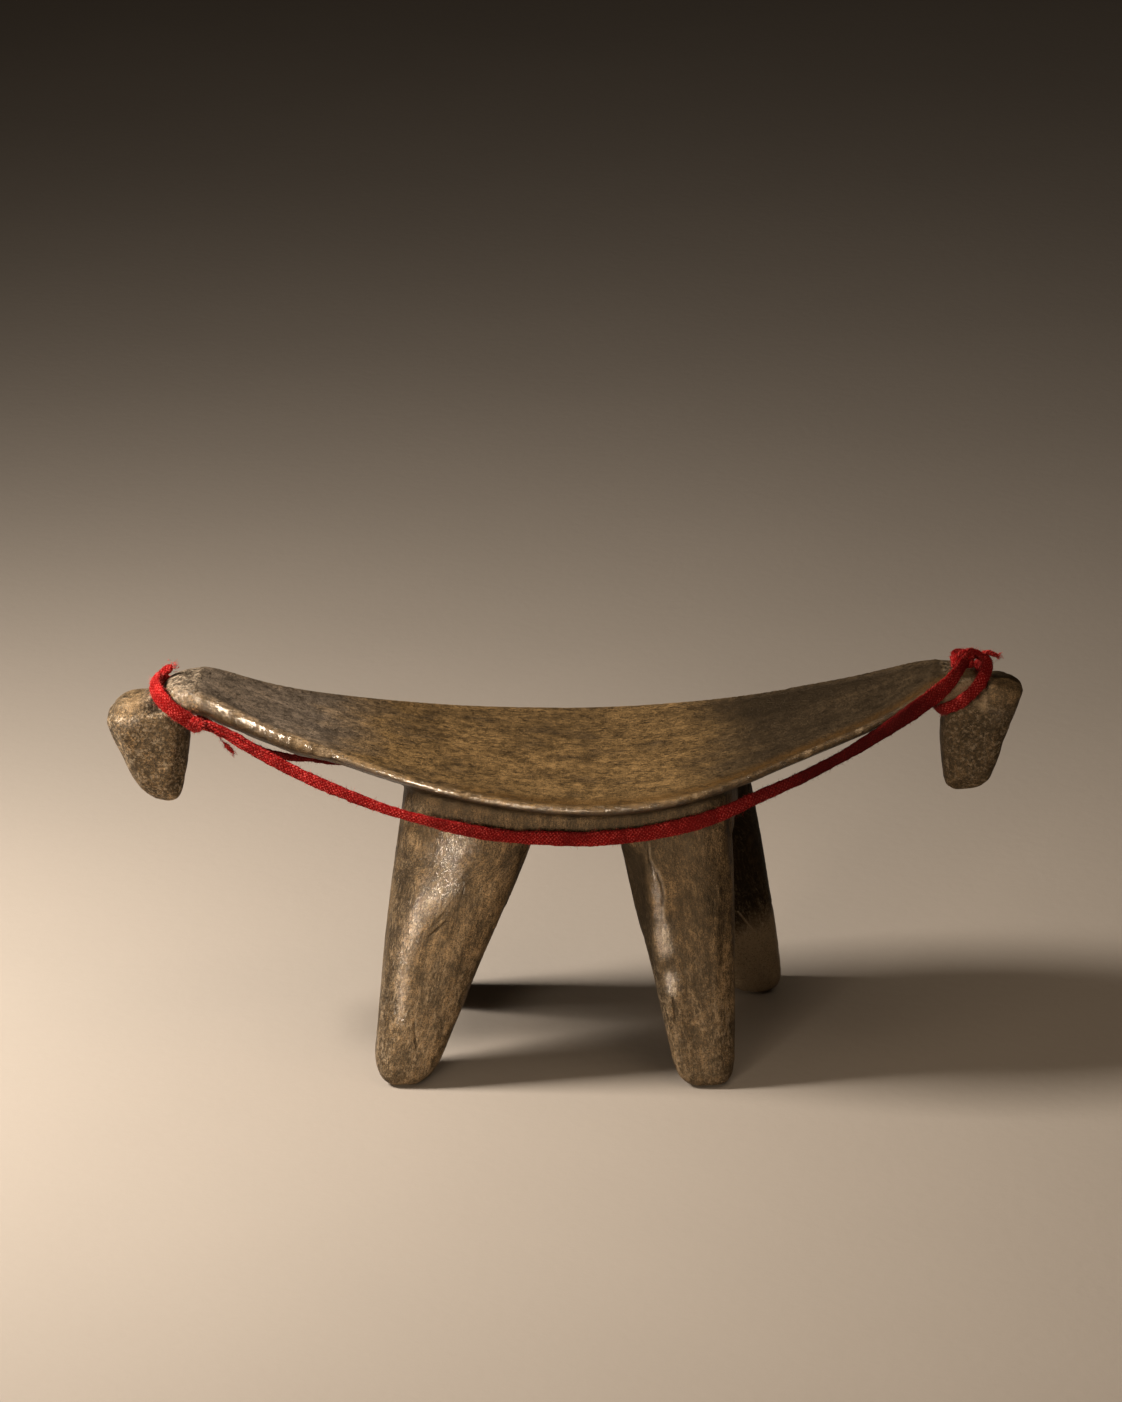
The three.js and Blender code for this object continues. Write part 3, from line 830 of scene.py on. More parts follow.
# Flat faces of the two end knobs: direction outwards along the seat, across it and up, and how
# far the face is cut in, in millimetres.
KNOB_FACES = {
    -1: [
        ((0.14, -0.05, 0.99), 0.5), ((0.03, -0.995, -0.07), 0.2), ((0.14, -0.82, -0.55), 0.6),
        ((0.02, 0.995, -0.06), 0.3), ((0.1, 0.8, -0.58), 0.7), ((0.915, -0.05, -0.4), 0.2),
        ((0.99, 0.04, 0.05), 0.1), ((0.74, -0.6, -0.3), 0.9), ((0.74, 0.6, -0.3), 1.1),
        ((-0.985, -0.03, -0.17), 0.2), ((-0.74, -0.66, -0.12), 0.8), ((-0.72, 0.68, -0.12), 0.9),
        ((0.25, 0.02, -0.97), 1.3), ((0.7, -0.1, -0.71), 0.9), ((-0.5, -0.06, -0.86), 0.4),
        ((0.62, -0.2, 0.76), 2.0),
    ],
    1: [
        ((0.3, -0.08, 0.95), 0.7), ((-0.04, -0.995, -0.08), 0.3), ((-0.05, -0.84, -0.54), 0.6),
        ((0.02, 0.995, -0.06), 0.3), ((0.1, 0.8, -0.58), 0.7), ((0.952, -0.05, -0.3), 3.3),
        ((0.995, 0.03, 0.08), 0.2), ((0.6, -0.78, -0.2), 1.0), ((0.7, 0.66, -0.26), 1.1),
        ((-0.998, -0.03, -0.05), -0.7), ((-0.7, -0.7, -0.1), 0.3), ((-0.7, 0.7, -0.1), 0.9),
        ((0.2, 0.02, -0.98), 2.0), ((0.72, -0.08, -0.69), 2.0), ((-0.6, -0.06, -0.8), 0.3),
    ],
}
KNOB_MIDDLES = {-1: (170.0, 0.0, 130.0), 1: (170.0, 0.0, 134.0)}
KNOB_CUT, KNOB_GROWN, KNOB_LEFT_ALONE, KNOB_RIDGE = 4.2, 2.6, 7, 0.8

# Long flat cuts down the corners of the legs: the leg's sides, two points on the ridge and
# the way the cut runs from there. Then how deep they go and how rounded their edges are.
LEG_CUTS = [
    ((-1, -1), (-59.3, -41.2, 111.9), (-72.1, -54.9, 20.8), (-0.74, 0.67, 0)),
    ((1, -1), (32.2, -44.6, 103), (45.2, -56.2, 16.6), (-0.7, 0.71, 0)),
    ((1, -1), (62.8, -43, 100), (65.6, -55, 18), (0.75, 0.66, 0)),
    ((1, 1), (68, 41, 104), (86, 55.5, 22), (0.72, -0.69, 0)),
    ((1, 1), (40, 42, 104), (76.6, 57, 20), (-0.72, -0.69, 0)),
    ((-1, 1), (-58, 39, 104), (-62, 47, 20), (-0.74, -0.67, 0)),
    ((-1, 1), (-22, 41, 98), (-48.6, 47.6, 18), (0.74, -0.67, 0)),
]
CORNER_CUT, SOFT_CORNER, CRISP_CORNER = 3.2, 5.0, 0.5
# How high a foot is worn round, how far, and how far where it is less worn, in millimetres.
FOOT_TOP, FOOT_PULL, SMALL_FOOT_PULL = 13, 5.2, 2.5
# Middle of the rim's rounded section, inwards from its edge and below its top.
RIM_MIDDLE = (2.6, 4.8)


def face_knobs(points, weight):
    """Cuts each knob to its flat faces, with the ridges between them slightly rounded."""
    moved = points.copy()
    for side, faces in KNOB_FACES.items():
        own = np.flatnonzero((weight > 0.01) & (np.sign(points[:, 0]) == side))
        mirror = np.array([side, 1, 1])
        middle = np.array(KNOB_MIDDLES[side])
        inside = points[own] * mirror
        core = inside[weight[own] > 0.9]
        distance = np.linalg.norm(inside - middle, axis=1)
        direction = (inside - middle) / distance[:, None]
        reach = np.zeros(len(own))
        for facing, cut in faces:
            facing = unit(np.array(facing))
            level = (core @ facing).max() - cut - middle @ facing
            slope = np.maximum(direction @ facing, 0.05)
            reach += np.exp(-np.minimum(level / slope, 60) / KNOB_RIDGE)
        change = -KNOB_RIDGE * np.log(reach) - distance
        keep = 1 - smoothstep(-change, KNOB_CUT, KNOB_LEFT_ALONE)
        change = np.clip(change, -KNOB_CUT, KNOB_GROWN) * keep * weight[own]
        moved[own] = (inside + direction * change[:, None]) * mirror
    return moved


def cut_leg_corners(points, weight):
    """Planes the long corners of the legs flat."""
    moved = points.copy()
    own_side = {leg: own for leg, _, _, own in legs(points)}
    for leg, upper, lower, run in LEG_CUTS:
        upper, lower, run = np.array(upper), np.array(lower), np.array(run)
        facing = unit(np.cross(lower - upper, run))
        if facing[0] * run[0] < 0:
            facing = -facing
        height = (points - upper) @ facing
        beside = smoothstep((points - upper) @ unit(run), -10, 0)
        soft = SOFT_CORNER if leg == (-1, -1) else CRISP_CORNER
        deep = np.minimum(0.5 * (height + np.sqrt(height * height + soft)), CORNER_CUT)
        deep = deep * smoothstep(height, -6, -1) * weight * own_side[leg] * beside
        deep = deep * (1 - smoothstep(points[:, 2], 92, 106))
        moved -= facing * deep[:, None]
    return moved


def bell(steps, width):
    """Weights of a soft average over so many steps to each side."""
    return np.exp(-0.5 * (np.arange(-steps, steps + 1) / width) ** 2)


def even_rim(points, weight):
    """Evens out the rounded rim along its run: at each turn about the middle of its section, its
    reach becomes the mean of the reach a few millimetres to either side."""
    moved = points.copy()
    first, last, gap, turn_gap, blur_steps = -175, 175, 0.5, 5, 30
    stations = np.arange(first, last + 0.01, gap)
    blur, turn_blur = bell(blur_steps, 9.0), bell(6, 2.0)
    blur /= blur.sum()
    half_line, rim_line = (np.convolve(np.pad(line, blur_steps, "edge"), blur, "valid")
                           for line in seat_at(stations))
    for face in (-1, 1):
        own = np.flatnonzero((weight > 0.01) & (np.sign(points[:, 1]) == face))
        x, y, z = points[own].T
        out = face * y - np.interp(x, stations, half_line) + RIM_MIDDLE[0]
        up = z - np.interp(x, stations, rim_line) + RIM_MIDDLE[1]
        reach = np.hypot(out, up)
        turn = np.degrees(np.arctan2(up, out))
        row, column = (x - first) / gap, (turn + 180) / turn_gap
        table = np.zeros((2, len(stations) + 1, 74))
        cells = (row.astype(int), column.astype(int))
        np.add.at(table[0], cells, reach)
        np.add.at(table[1], cells, 1.0)
        for axis, kernel in ((1, blur), (2, turn_blur)):
            table = np.apply_along_axis(np.convolve, axis, table, kernel, "same")
        mean = table[0] / np.maximum(table[1], 1e-9)
        r, c = (np.clip(place - 0.5, 0, None).astype(int) for place in (row, column))
        a, b = row - 0.5 - r, column - 0.5 - c
        even = (mean[r, c] * (1 - a) * (1 - b) + mean[r + 1, c] * a * (1 - b)
                + mean[r, c + 1] * (1 - a) * b + mean[r + 1, c + 1] * a * b)
        share = weight[own] * smoothstep(turn, -60, -25) * (1 - smoothstep(turn, 105, 140))
        change = (even - reach) * share * (np.abs(even - reach) < 1.2)
        moved[own, 1] += face * out / np.maximum(reach, 1e-6) * change
        moved[own, 2] += up / np.maximum(reach, 1e-6) * change
    return moved


def round_feet(points):
    """Rounds the worn edge of each foot."""
    moved = points.copy()
    low = np.clip(1 - points[:, 2] / FOOT_TOP, 0, 1)
    for leg, sole, _, own in legs(points):
        own = own & (points[:, 2] < FOOT_TOP)
        out = points[own, :2] - sole
        reach = np.linalg.norm(out, axis=1)
        pull = SMALL_FOOT_PULL if leg == (1, -1) else FOOT_PULL
        pull = pull * low[own] ** 2.2 * smoothstep(reach, 3, 12)
        moved[own, :2] -= out / np.maximum(reach, 1e-6)[:, None] * pull[:, None] * (1, 0.15)
    return moved


def refine_near(mesh, lines, reach):
    """Splits the faces near the given lines, so that fine cracks have enough points."""
    points = coordinates(mesh) / MM
    near = np.zeros(len(points), bool)
    for line in lines:
        near |= distance_to_line(points, line)[0] < reach
    work = bmesh.new()
    work.from_mesh(mesh)
    work.verts.ensure_lookup_table()
    edges = [e for e in work.edges if near[e.verts[0].index] and near[e.verts[1].index]]
    bmesh.ops.subdivide_edges(work, edges=edges, cuts=1, use_grid_fill=True)
    work.to_mesh(mesh)
    work.free()


# Splits along the grain, each as a line of points in millimetres on the surface.
LEG_SPLITS = [
    [(33.2, -44, 100.8), (34.2, -45.3, 94.4), (37, -46, 90.4), (38.8, -46.8, 86), (39.6, -47.6, 81.3),
     (39.2, -48.4, 75.2)],
    [(43.6, -53, 40), (44.4, -53.8, 33), (44.6, -54.4, 27)],
    [(-60.5, -56, 16), (-61.4, -54.4, 27), (-61, -53.2, 34)],
    [(66.8, -56.4, 12), (66.2, -55.2, 22), (65.4, -54.2, 31)],
    [(-57, 46, 20), (-55, 44.6, 34), (-54.2, 43, 48), (-53.4, 41.8, 56)],
    [(84, 59, 14), (81.6, 57.4, 30), (79, 55.4, 46)],
]
SCRATCHES = [
    [(-55.1, -49.8, 67.3), (-49.4, -49.2, 72.2)],
    [(-54.3, -49.6, 69), (-49, -49, 74)],
    [(-53.5, -50.1, 65.7), (-48.2, -49.4, 70.7)],
    [(-55.9, -50.3, 64), (-51.4, -49.8, 67.8)],
]
# Rubbed places that still shine: a line in millimetres, and how far the shine reaches from its start and from
# its end. Along the same lines, pale flecks are painted into the colour as glints of light.
SHINE_AND_GLINT_LINES = [
    ([(-44.4, -44.5, 102.3), (-48.1, -45.4, 96.2), (-48.1, -46.8, 88), (-53.8, -47.6, 81.8),
      (-59.5, -48.6, 74.7), (-62.4, -49.3, 68), (-66.9, -50.3, 57), (-67, -52.1, 46.3),
      (-67.9, -54.5, 29.6)], 6, 2),
    ([(39.2, -49.4, 67.2), (40.5, -50.6, 58.9)], 2.6, 2.6),
    ([(42.6, -52.2, 47.5), (43.4, -52.6, 42)], 2.2, 2),
    ([(-166, -8, 152), (-150, -15, 153.5), (-138, -19, 152)], 4, 3),
    ([(-196, -12, 141), (-176, -15, 143)], 3, 3),
    ([(178, -14, 146), (192, -12, 145)], 3, 3),
]
PALE_LINES = [
    [(33.8, -44, 102.9), (34.4, -44.9, 96.8), (35.9, -45.7, 93.6), (38, -46.1, 90.9), (39.6, -46.9, 86.3),
     (40.4, -47.7, 81.3), (39.9, -48.5, 75.2), (40.4, -49.3, 68)],
    [(61.4, -46.3, 85.2), (62.3, -46.8, 81), (63.5, -47.4, 74.7)],
    [(72.8, 22.4, 44.7), (77.1, 24.4, 38.4), (82.4, 27.3, 29.8), (89.2, 32.9, 18.2)],
]
# Chips out of the rim, in millimetres: place, radius, depth.
RIM_CHIPS = [
    ((-108.2, -29.6, 141.2), 2.2, 0.7), ((-99.3, -32.2, 137.4), 2.8, 0.9), ((-96.6, -33.2, 136.6), 1.8, 0.7),
    ((-92, -31, 131.8), 3.4, 1.2), ((-101, -28.2, 133.6), 2.4, 0.9), ((-133, -21.6, 151.6), 2, 0.6),
    ((-66.4, -43.4, 133.2), 1.6, 0.6), ((-40, -51.2, 127.4), 1.6, 0.5), ((52, -54.4, 127.6), 2, 0.6),
    ((97, -38.6, 139.6), 2.2, 0.6), ((118, -31.6, 147), 2, 0.5), ((-70, 42.2, 130.4), 3, 0.8),
    ((-20, 55.2, 121.6), 2.2, 0.6), ((44, 56, 122.8), 2.8, 0.7), ((92, 40.2, 136), 3, 0.9),
    ((-118, 25.4, 142.6), 2.6, 0.8), ((150, 17.4, 155), 2.4, 0.7),
]


# How far the carving stands out or lies in, in millimetres.
RIM_RAISED, RIM_GROOVE, NOSE_RAISED = 0.55, 0.35, 0.5
ARCH_NARROWER, UNDERSIDE_LOWER = 2.1, 2.0
RING_PLACE, RING_RADIUS, RING_DEPTH = (-66.2, -40.6, 130.8), 1.9, 0.3
SPLIT_DEPTH, PALE_LINE_DEPTH, SCRATCH_DEPTH, FLAKE_DEPTH = 0.75, 0.3, 0.4, 0.45
# Edges of the flake beside the split on the front right leg: heights, and x at each.
FLAKE_RIGHT = ((60, 68.2, 75.2, 81.3, 86.3, 90.9, 93.6, 96.8, 102.9),
               (39, 40.4, 39.9, 40.4, 39.6, 38, 35.9, 34.4, 33.8))
FLAKE_LEFT = ((65.4, 72.6, 82.3, 91.9, 102.9), (39.3, 36.9, 35.7, 34.7, 33.8))


def ridge(distance, width):
    """1 on a line and less beside it."""
    return np.exp(-((distance / width) ** 2))


class BlockParts:
    """Where the parts of the block lie: a weight from 0 to 1 for each of its points."""

    def __init__(self, points, normals, pairs):
        self.x, self.y, self.z = points.T
        end_reach = np.abs(self.x)
        half, self.rim = seat_at(self.x)
        self.seat = smoothstep(self.z, self.rim - 13, self.rim - 9) * (end_reach < 171)
        self.knob = smoothstep(end_reach, 150, 158) * smoothstep(self.rim - self.z, 3, 12)
        self.dish = relax(self.seat * smoothstep(normals[:, 2], 0.3, 0.7) * (1 - self.knob), pairs, 6, False)
        self.below = (1 - self.seat) * (1 - self.knob)
        self.rough_side = self.seat * (1 - self.dish) * (1 - self.knob)
        self.rim_gap = half - np.abs(self.y)
        self.ends = smoothstep(end_reach, 146, 152)
        self.nose = np.where(self.x < 0, smoothstep(-self.x, 147.4, 149.2), smoothstep(self.x, 152.8, 154.8))
        self.round_rim = (1 - smoothstep(self.rim_gap, 5, 8)) * (1 - self.knob) * (1 - self.ends)
        self.round_rim *= smoothstep(self.z, self.rim - 10, self.rim - 7)


def raise_rim(points, normals, part):
    """A raised rounded rim round the dish with a slight groove inside it, and a ridge at each nose."""
    x, y = part.x, part.y
    roll = ridge(part.rim_gap - 1.6, 1.7) * (1 - part.ends)
    groove = ridge(part.rim_gap - 5.2, 2.0) * (1 - part.ends)
    nose = ridge(np.abs(x) - 149.6 - 0.12 * y * np.sign(x), 1.6)
    lift = part.dish * (RIM_RAISED * roll - RIM_GROOVE * groove + NOSE_RAISED * nose)
    return points + normals * lift[:, None]


def fit_underneath(points, normals, part):
    """Narrows the arch between the front legs at its top, and brings the underside of the seat's
    left end down to the strap."""
    x, y, z = part.x, part.y, part.z
    inward = ARCH_NARROWER * smoothstep(z, 40, 92) * part.below * (y < 0)
    inward *= smoothstep(np.abs(normals[:, 0]), 0.15, 0.6)
    inward *= (np.abs(x - BODY_MIDDLE) < 46) * (np.sign(normals[:, 0]) != np.sign(x - BODY_MIDDLE))
    lower = smoothstep(-x, 92, 112) * (1 - smoothstep(-x, 140, 149)) * (z > 105) * smoothstep(-y, 2, 10)
    moved = points.copy()
    moved[:, 0] -= np.sign(x - BODY_MIDDLE) * inward
    moved[:, 2] -= UNDERSIDE_LOWER * lower * smoothstep(-normals[:, 2], -0.1, 0.3)
    return moved


def tool_marks(points, leaning, part):
    """Slow waves that a hand tool leaves, long on the legs and broad in the dish, and small dents."""
    height = part.below * 0.2 * lumps(leaning, (5, 5, 26), 21)
    height += part.dish * (1 - part.round_rim) * 0.16 * lumps(points, (30, 12, 12), 22)
    height += part.knob * 0.28 * lumps(points, 6, 23)
    height += 0.07 * lumps(points, 2.2, 24) * (1 - 0.5 * part.dish) * (1 - 0.95 * part.round_rim)
    height += part.rough_side * (1 - part.round_rim) * 0.14 * lumps(points, (7, 3, 3), 25)
    dents = smoothstep(lumps(points, 4.4, 26), 0.62, 0.95)
    return height - (part.knob + 0.5 * part.below) * 0.5 * dents


class BlockMarks:
    """What use and age have left: how deep it is cut in, and where each kind of mark lies."""

    def __init__(self, points, part):
        none = np.zeros(len(points))
        self.depth, self.chipped, self.near_chip, self.split, self.pale_line = none, none, none, none, none
        for place, radius, depth in RIM_CHIPS:
            away = np.linalg.norm(points - place, axis=1)
            bite = np.clip(1 - (away / radius) ** 2, 0, 1)
            self.depth = self.depth + depth * bite
            self.chipped = np.maximum(self.chipped, smoothstep(bite, 0.05, 0.5))
            self.near_chip = np.maximum(self.near_chip, 1 - smoothstep(away, radius + 0.6, radius + 2.4))
        ring_gap = np.abs(np.linalg.norm(points - RING_PLACE, axis=1) - RING_RADIUS)
        self.depth = self.depth + RING_DEPTH * ridge(ring_gap, 0.55) * part.dish
        for line in LEG_SPLITS:
            away, share = distance_to_line(points, line)
            cut = ridge(away, 0.34) * smoothstep(share, 0, 0.12) * (1 - smoothstep(share, 0.88, 1))
            self.depth = self.depth + SPLIT_DEPTH * cut
            self.split = np.maximum(self.split, cut)
        for line in PALE_LINES:
            away, share = distance_to_line(points, line)
            self.pale_line = np.maximum(self.pale_line, ridge(away, 0.42) * (1 - smoothstep(share, 0.85, 1)))
        for line in SCRATCHES:
            away, share = distance_to_line(points, line)
            scratch = ridge(away, 0.4) * smoothstep(share, 0, 0.2)
            self.depth = self.depth + SCRATCH_DEPTH * scratch
            self.split = np.maximum(self.split, 0.9 * scratch)
        x, y, z = part.x, part.y, part.z
        left, right = np.interp(z, *FLAKE_LEFT), np.interp(z, *FLAKE_RIGHT)
        self.flake = (smoothstep(x, left - 0.8, left + 0.6) * smoothstep(right - x, -0.2, 0.5)
                      * (z > 62) * (z < 103) * (y < -38))
        self.depth = self.depth + PALE_LINE_DEPTH * self.pale_line + FLAKE_DEPTH * self.flake


def paint_shade(points, normals, part):
    """Painted shade: where the wood is made darker, at most very dark, to stand for shade. Darkest on the
    back right leg above its foot, on the right knob and on the knobs' sides that face the seat; lighter on
    the front right half below the seat and the far half of the dish; and more added on the sides of the front
    legs, the right part of the dish and the seat's outer side facing sideways or down. Returns the darkest
    painted shade alone, and all of it.
    """
    x, y, z = points.T
    below, knob, dish = part.below, part.knob, part.dish
    front, left, right = y < 0, x < BODY_MIDDLE, x > BODY_MIDDLE
    facing_left = smoothstep(-normals[:, 0], 0.35, 0.7)
    deep_painted_shade = np.maximum.reduce([
        below * smoothstep(z, 24, 44) * right * (y > 0),
        below * front * 0.32 * smoothstep(x, 0, 20),
        0.74 * knob * (x > 0) * (normals[:, 2] < 0.5),
        0.8 * knob * (x > 0) * smoothstep(-normals[:, 0], 0.3, 0.7),
        0.6 * knob * (x < 0) * smoothstep(normals[:, 0], 0.3, 0.7),
        0.25 * dish * smoothstep(y, 5, 35),
    ])
    outer_side = part.rough_side * (1 - part.nose)
    shaded = 0.6 * below * front * left * facing_left
    shaded += 0.4 * below * front * left * smoothstep(normals[:, 0], 0.55, 0.85)
    shaded += 0.8 * below * right * front * facing_left * smoothstep(z, 10, 40)
    shaded += 0.85 * dish * smoothstep(x, 34, 84)
    shaded += 0.8 * outer_side * (1 - smoothstep(normals[:, 2], 0.0, 0.35))
    return deep_painted_shade, deep_painted_shade + shaded


def gold(points, part, rim_band, inner_band):
    """Where the dish is rubbed golden."""
    x = points[:, 0]
    rubbed = part.dish * (1 - smoothstep(np.abs(x + 6), 50, 112)) + 0.25 * rim_band
    rubbed += 0.5 * part.seat * (1 - part.dish) * (1 - part.knob) * (x < 0)
    return rubbed + 0.5 * inner_band * (1 - smoothstep(x, 90, 130))


def store_finish(mesh, points, normals, pairs, leaning, part, marks):
    """Keeps in the mesh where each look of the wood belongs, for its material, with where shade, light, a
    reflection and glints are painted into its colour.
    """
    x, y, z = points.T
    below, knob, dish, seat = part.below, part.knob, part.dish, part.seat
    front = y < 0
    standing = np.einsum("ij,ij->i", points - relax(points, pairs, 14, False), normals)
    convex, concave = smoothstep(standing, 0.08, 0.5), smoothstep(-standing, 0.08, 0.55)
    rim_band = ridge(part.rim_gap - 1.0, 1.8) * seat * (1 - knob) * (normals[:, 2] > -0.2)
    inner_band = ridge(part.rim_gap - 7, 5.0) * dish * front * smoothstep(x, -110, -60)
    front_rim = ridge(part.rim_gap - 0.6, 2.2) * seat * (1 - knob) * front * (1 - part.ends)
    front_rim *= smoothstep(z, part.rim - 7.2, part.rim - 5.2) * (1 - marks.near_chip)
    low_leg = below * (1 - smoothstep(z, 26, 70))
    patchy = 9 * lumps(points, (6, 6, 12), 27)
    # Painted light: a lit patch low on the back right leg's outer side, made paler, golden and dusted in
    # colour.
    painted_lit_foot = (below * (x > BODY_MIDDLE) * (y > 0) * (1 - smoothstep(z + patchy, 30, 48))
                   * smoothstep(x - 0.4 * z + 0.5 * patchy, 55, 66))
    nose_front_lit = smoothstep(-normals[:, 1], 0.2, 0.6)
    shine_and_painted_glint = np.zeros(len(points))
    for line, wide, narrow in SHINE_AND_GLINT_LINES:
        away, share = distance_to_line(points, line)
        shine_and_painted_glint = np.maximum(shine_and_painted_glint, ridge(away, wide + (narrow - wide) * share))
    # Painted shade for the colour; its darkest part also makes the wood rougher.
    deep_painted_shade, painted_shade = paint_shade(points, normals, part)

    # Edges rubbed lighter; the front rim's left part is lighter still, partly a painted highlight.
    worn = 0.3 * convex * (1 - 0.5 * dish) + rim_band * (0.1 + 0.3 * (1 - smoothstep(x, 30, 130)) * front)
    # Dust on the knobs, more on their tops, where part of it is painted top light; less on the right knob.
    dust_and_painted_light = knob * (0.8 - 0.3 * (x > 0) + 0.6 * (normals[:, 2] > 0.6))
    # The left nose gets a fixed amount; on the right nose's front most of it is painted light.
    dust_and_painted_light += part.nose * seat * np.where(x < 0, 0.8, 0.3 + nose_front_lit)
    dust_and_painted_light += 0.3 * low_leg + 0.6 * painted_lit_foot + marks.pale_line
    rubbed = 0.15 * below + 0.55 * low_leg + 0.25 * below * (x < BODY_MIDDLE) * front
    # The lit back right foot and the glint flecks along the shiny lines are painted light, not wear.
    rubbed += painted_lit_foot + 1.1 * shine_and_painted_glint * below
    pale = 0.8 * marks.chipped + 0.15 * marks.flake + 1.2 * marks.pale_line + 1.3 * painted_lit_foot
    # Painted light: the right knob's top and the front of the right nose, both in shade, are made paler.
    pale += knob * (x > 0) * smoothstep(normals[:, 2], 0.5, 0.8) + part.nose * seat * (x > 0) * nose_front_lit
    # Painted glints: pale flecks along the shiny lines, more on the front right leg's lower part.
    pale += (0.1 + 0.25 * (x > 20) * (z < 70)) * shine_and_painted_glint
    polished = front_rim * (0.85 - 0.4 * smoothstep(x, -80, -25) - 0.3 * smoothstep(x, 20, 90))
    polished = np.maximum(polished + 0.5 * marks.flake, shine_and_painted_glint)
    store(mesh, "leg_grain", leaning)
    for name, values, highest in (
        # The weight of the painted reflection on the dish: most on its left, a little all over.
        ("dish", dish, 1), ("reflection_left", 0.9 * (1 - smoothstep(x, 20, 90)) + 0.15, 1.05),
        ("upright", below + knob, 1), ("knob", knob + part.nose * seat, 1), ("worn", worn, 1),
        ("hollow", 0.6 * concave + 0.9 * marks.split, 1),
        ("golden", gold(points, part, rim_band, inner_band), 1),
        ("band", inner_band * smoothstep(x, -60, -20) * 0.9, 1), ("dust_and_painted_light", dust_and_painted_light, 1.3),
        ("rubbed", rubbed, 1.4), ("painted_shade", painted_shade, 1), ("pale", pale, 1),
        ("matt", knob * 0.15 + part.ends * seat * 0.2 + deep_painted_shade, 1), ("polished", polished, 1),
        ("smooth", front_rim * (1 - 0.7 * smoothstep(x, -85, -20)), 1),
    ):
        store(mesh, name, np.clip(values, 0, highest))


def carve_block(look):
    """The wooden block: the solid's form with the marks of carving, use and age."""
    mesh = solid_as_fine_mesh("headrest", look.voxel)
    fine_lines = LEG_SPLITS + PALE_LINES + SCRATCHES
    refine_near(mesh, fine_lines, 2.6)
    refine_near(mesh, fine_lines, 1.3)
    pairs = values_of(mesh.edges, "vertices", 2, np.int64)
    points = relax(coordinates(mesh) / MM, pairs, 10)
    normals = reshape(mesh, points)
    part = BlockParts(points, normals, pairs)

    points = raise_rim(points, normals, part)
    points = fit_underneath(points, normals, part)
    points = face_knobs(points, part.knob)
    points = cut_leg_corners(points, part.below)
    points = round_feet(points)
    normals = reshape(mesh, points)

    leaning = points.copy()
    leaning[:, :2] -= leg_shift(points)
    points = shave(points, normals, pairs, part.knob * 0.6, 7.0, 1.25, 0.25, 0.4, 11)
    points = shave(points, normals, pairs, part.below * 0.8, 8.5, 4.0, 0.3, 0.5, 12)
    points = shave(points, normals, pairs, part.rough_side * 0.7, 7.0, 1.0, 0.25, 0.45, 13)
    points = even_rim(relax(points, pairs, 1), part.round_rim)
    normals = reshape(mesh, points)

    marks = BlockMarks(points, part)
    points = points + normals * (tool_marks(points, leaning, part) - marks.depth)[:, None]
    points[:, 2] = np.maximum(points[:, 2], 0.0)
    normals = reshape(mesh, points)
    store_finish(mesh, points, normals, pairs, leaning, part, marks)
    mesh.validate()
    return mesh


# What a user may change


class HeadrestWoodSettings(bpy.types.PropertyGroup):
    voxel: FloatProperty(name="Mesh Fineness", description="Spacing of the points on the carved surface",
                         default=0.00125, min=0.0008, max=0.004, precision=5, subtype="DISTANCE",
                         unit="LENGTH")
    dark_color: FloatVectorProperty(name="Dark Wood", description="Wood under its old oil",
                                    default=(0.113, 0.073, 0.036), size=3, min=0, max=1, subtype="COLOR")
    golden_color: FloatVectorProperty(name="Rubbed Dish", description="Golden wood in the middle of the dish",
                                      default=(0.142, 0.085, 0.033), size=3, min=0, max=1, subtype="COLOR")
    # A painted reflection: this greyer colour is laid mostly on the dish's left part.
    grey_reflection_color: FloatVectorProperty(name="Dish Ends", description="Greyer wood at both ends of the dish",
                                    default=(0.12, 0.09, 0.063), size=3, min=0, max=1, subtype="COLOR")
    # Also the colour of painted light and painted glints on the block.
    bare_and_lit_color: FloatVectorProperty(name="Bare Wood", description="Wood where the oil has gone",
                                    default=(0.33, 0.242, 0.148), size=3, min=0, max=1, subtype="COLOR")
    # Also a painted highlight along the front rim's left part.
    edge_and_glint_color: FloatVectorProperty(name="Edges", description="Edges rubbed bright",
                                    default=(0.22, 0.14, 0.07), size=3, min=0, max=1, subtype="COLOR")
    # Also the colour of painted light on the knob tops, the right nose and the back right foot.
    dust_and_light_color: FloatVectorProperty(name="Dust", description="Dust caught in the rough places",
                                    default=(0.46, 0.37, 0.26), size=3, min=0, max=1, subtype="COLOR")
    roughness: FloatProperty(name="Roughness", description="Roughness of the oiled surface",
                             default=0.5, min=0, max=1, subtype="FACTOR")


class CarryStrapSettings(bpy.types.PropertyGroup):
    width: FloatProperty(name="Width", description="Width of the cloth strip",
                         default=0.0064, min=0.003, max=0.012, precision=4, subtype="DISTANCE", unit="LENGTH")
    thickness: FloatProperty(name="Thickness", description="Thickness of the cloth strip",
                             default=0.0021, min=0.001, max=0.004, precision=4, subtype="DISTANCE",
                             unit="LENGTH")
    cloth_color: FloatVectorProperty(name="Cloth", description="Crimson of the cloth",
                                     default=(0.38, 0.006, 0.006), size=3, min=0, max=1, subtype="COLOR")
    cloth_light: FloatVectorProperty(name="Nap", description="Lighter red of the worn nap",
                                     default=(0.88, 0.15, 0.125), size=3, min=0, max=1, subtype="COLOR")
    seed: IntProperty(name="Fibre Seed", description="Changes how the loose fibres lie", default=3, min=0)


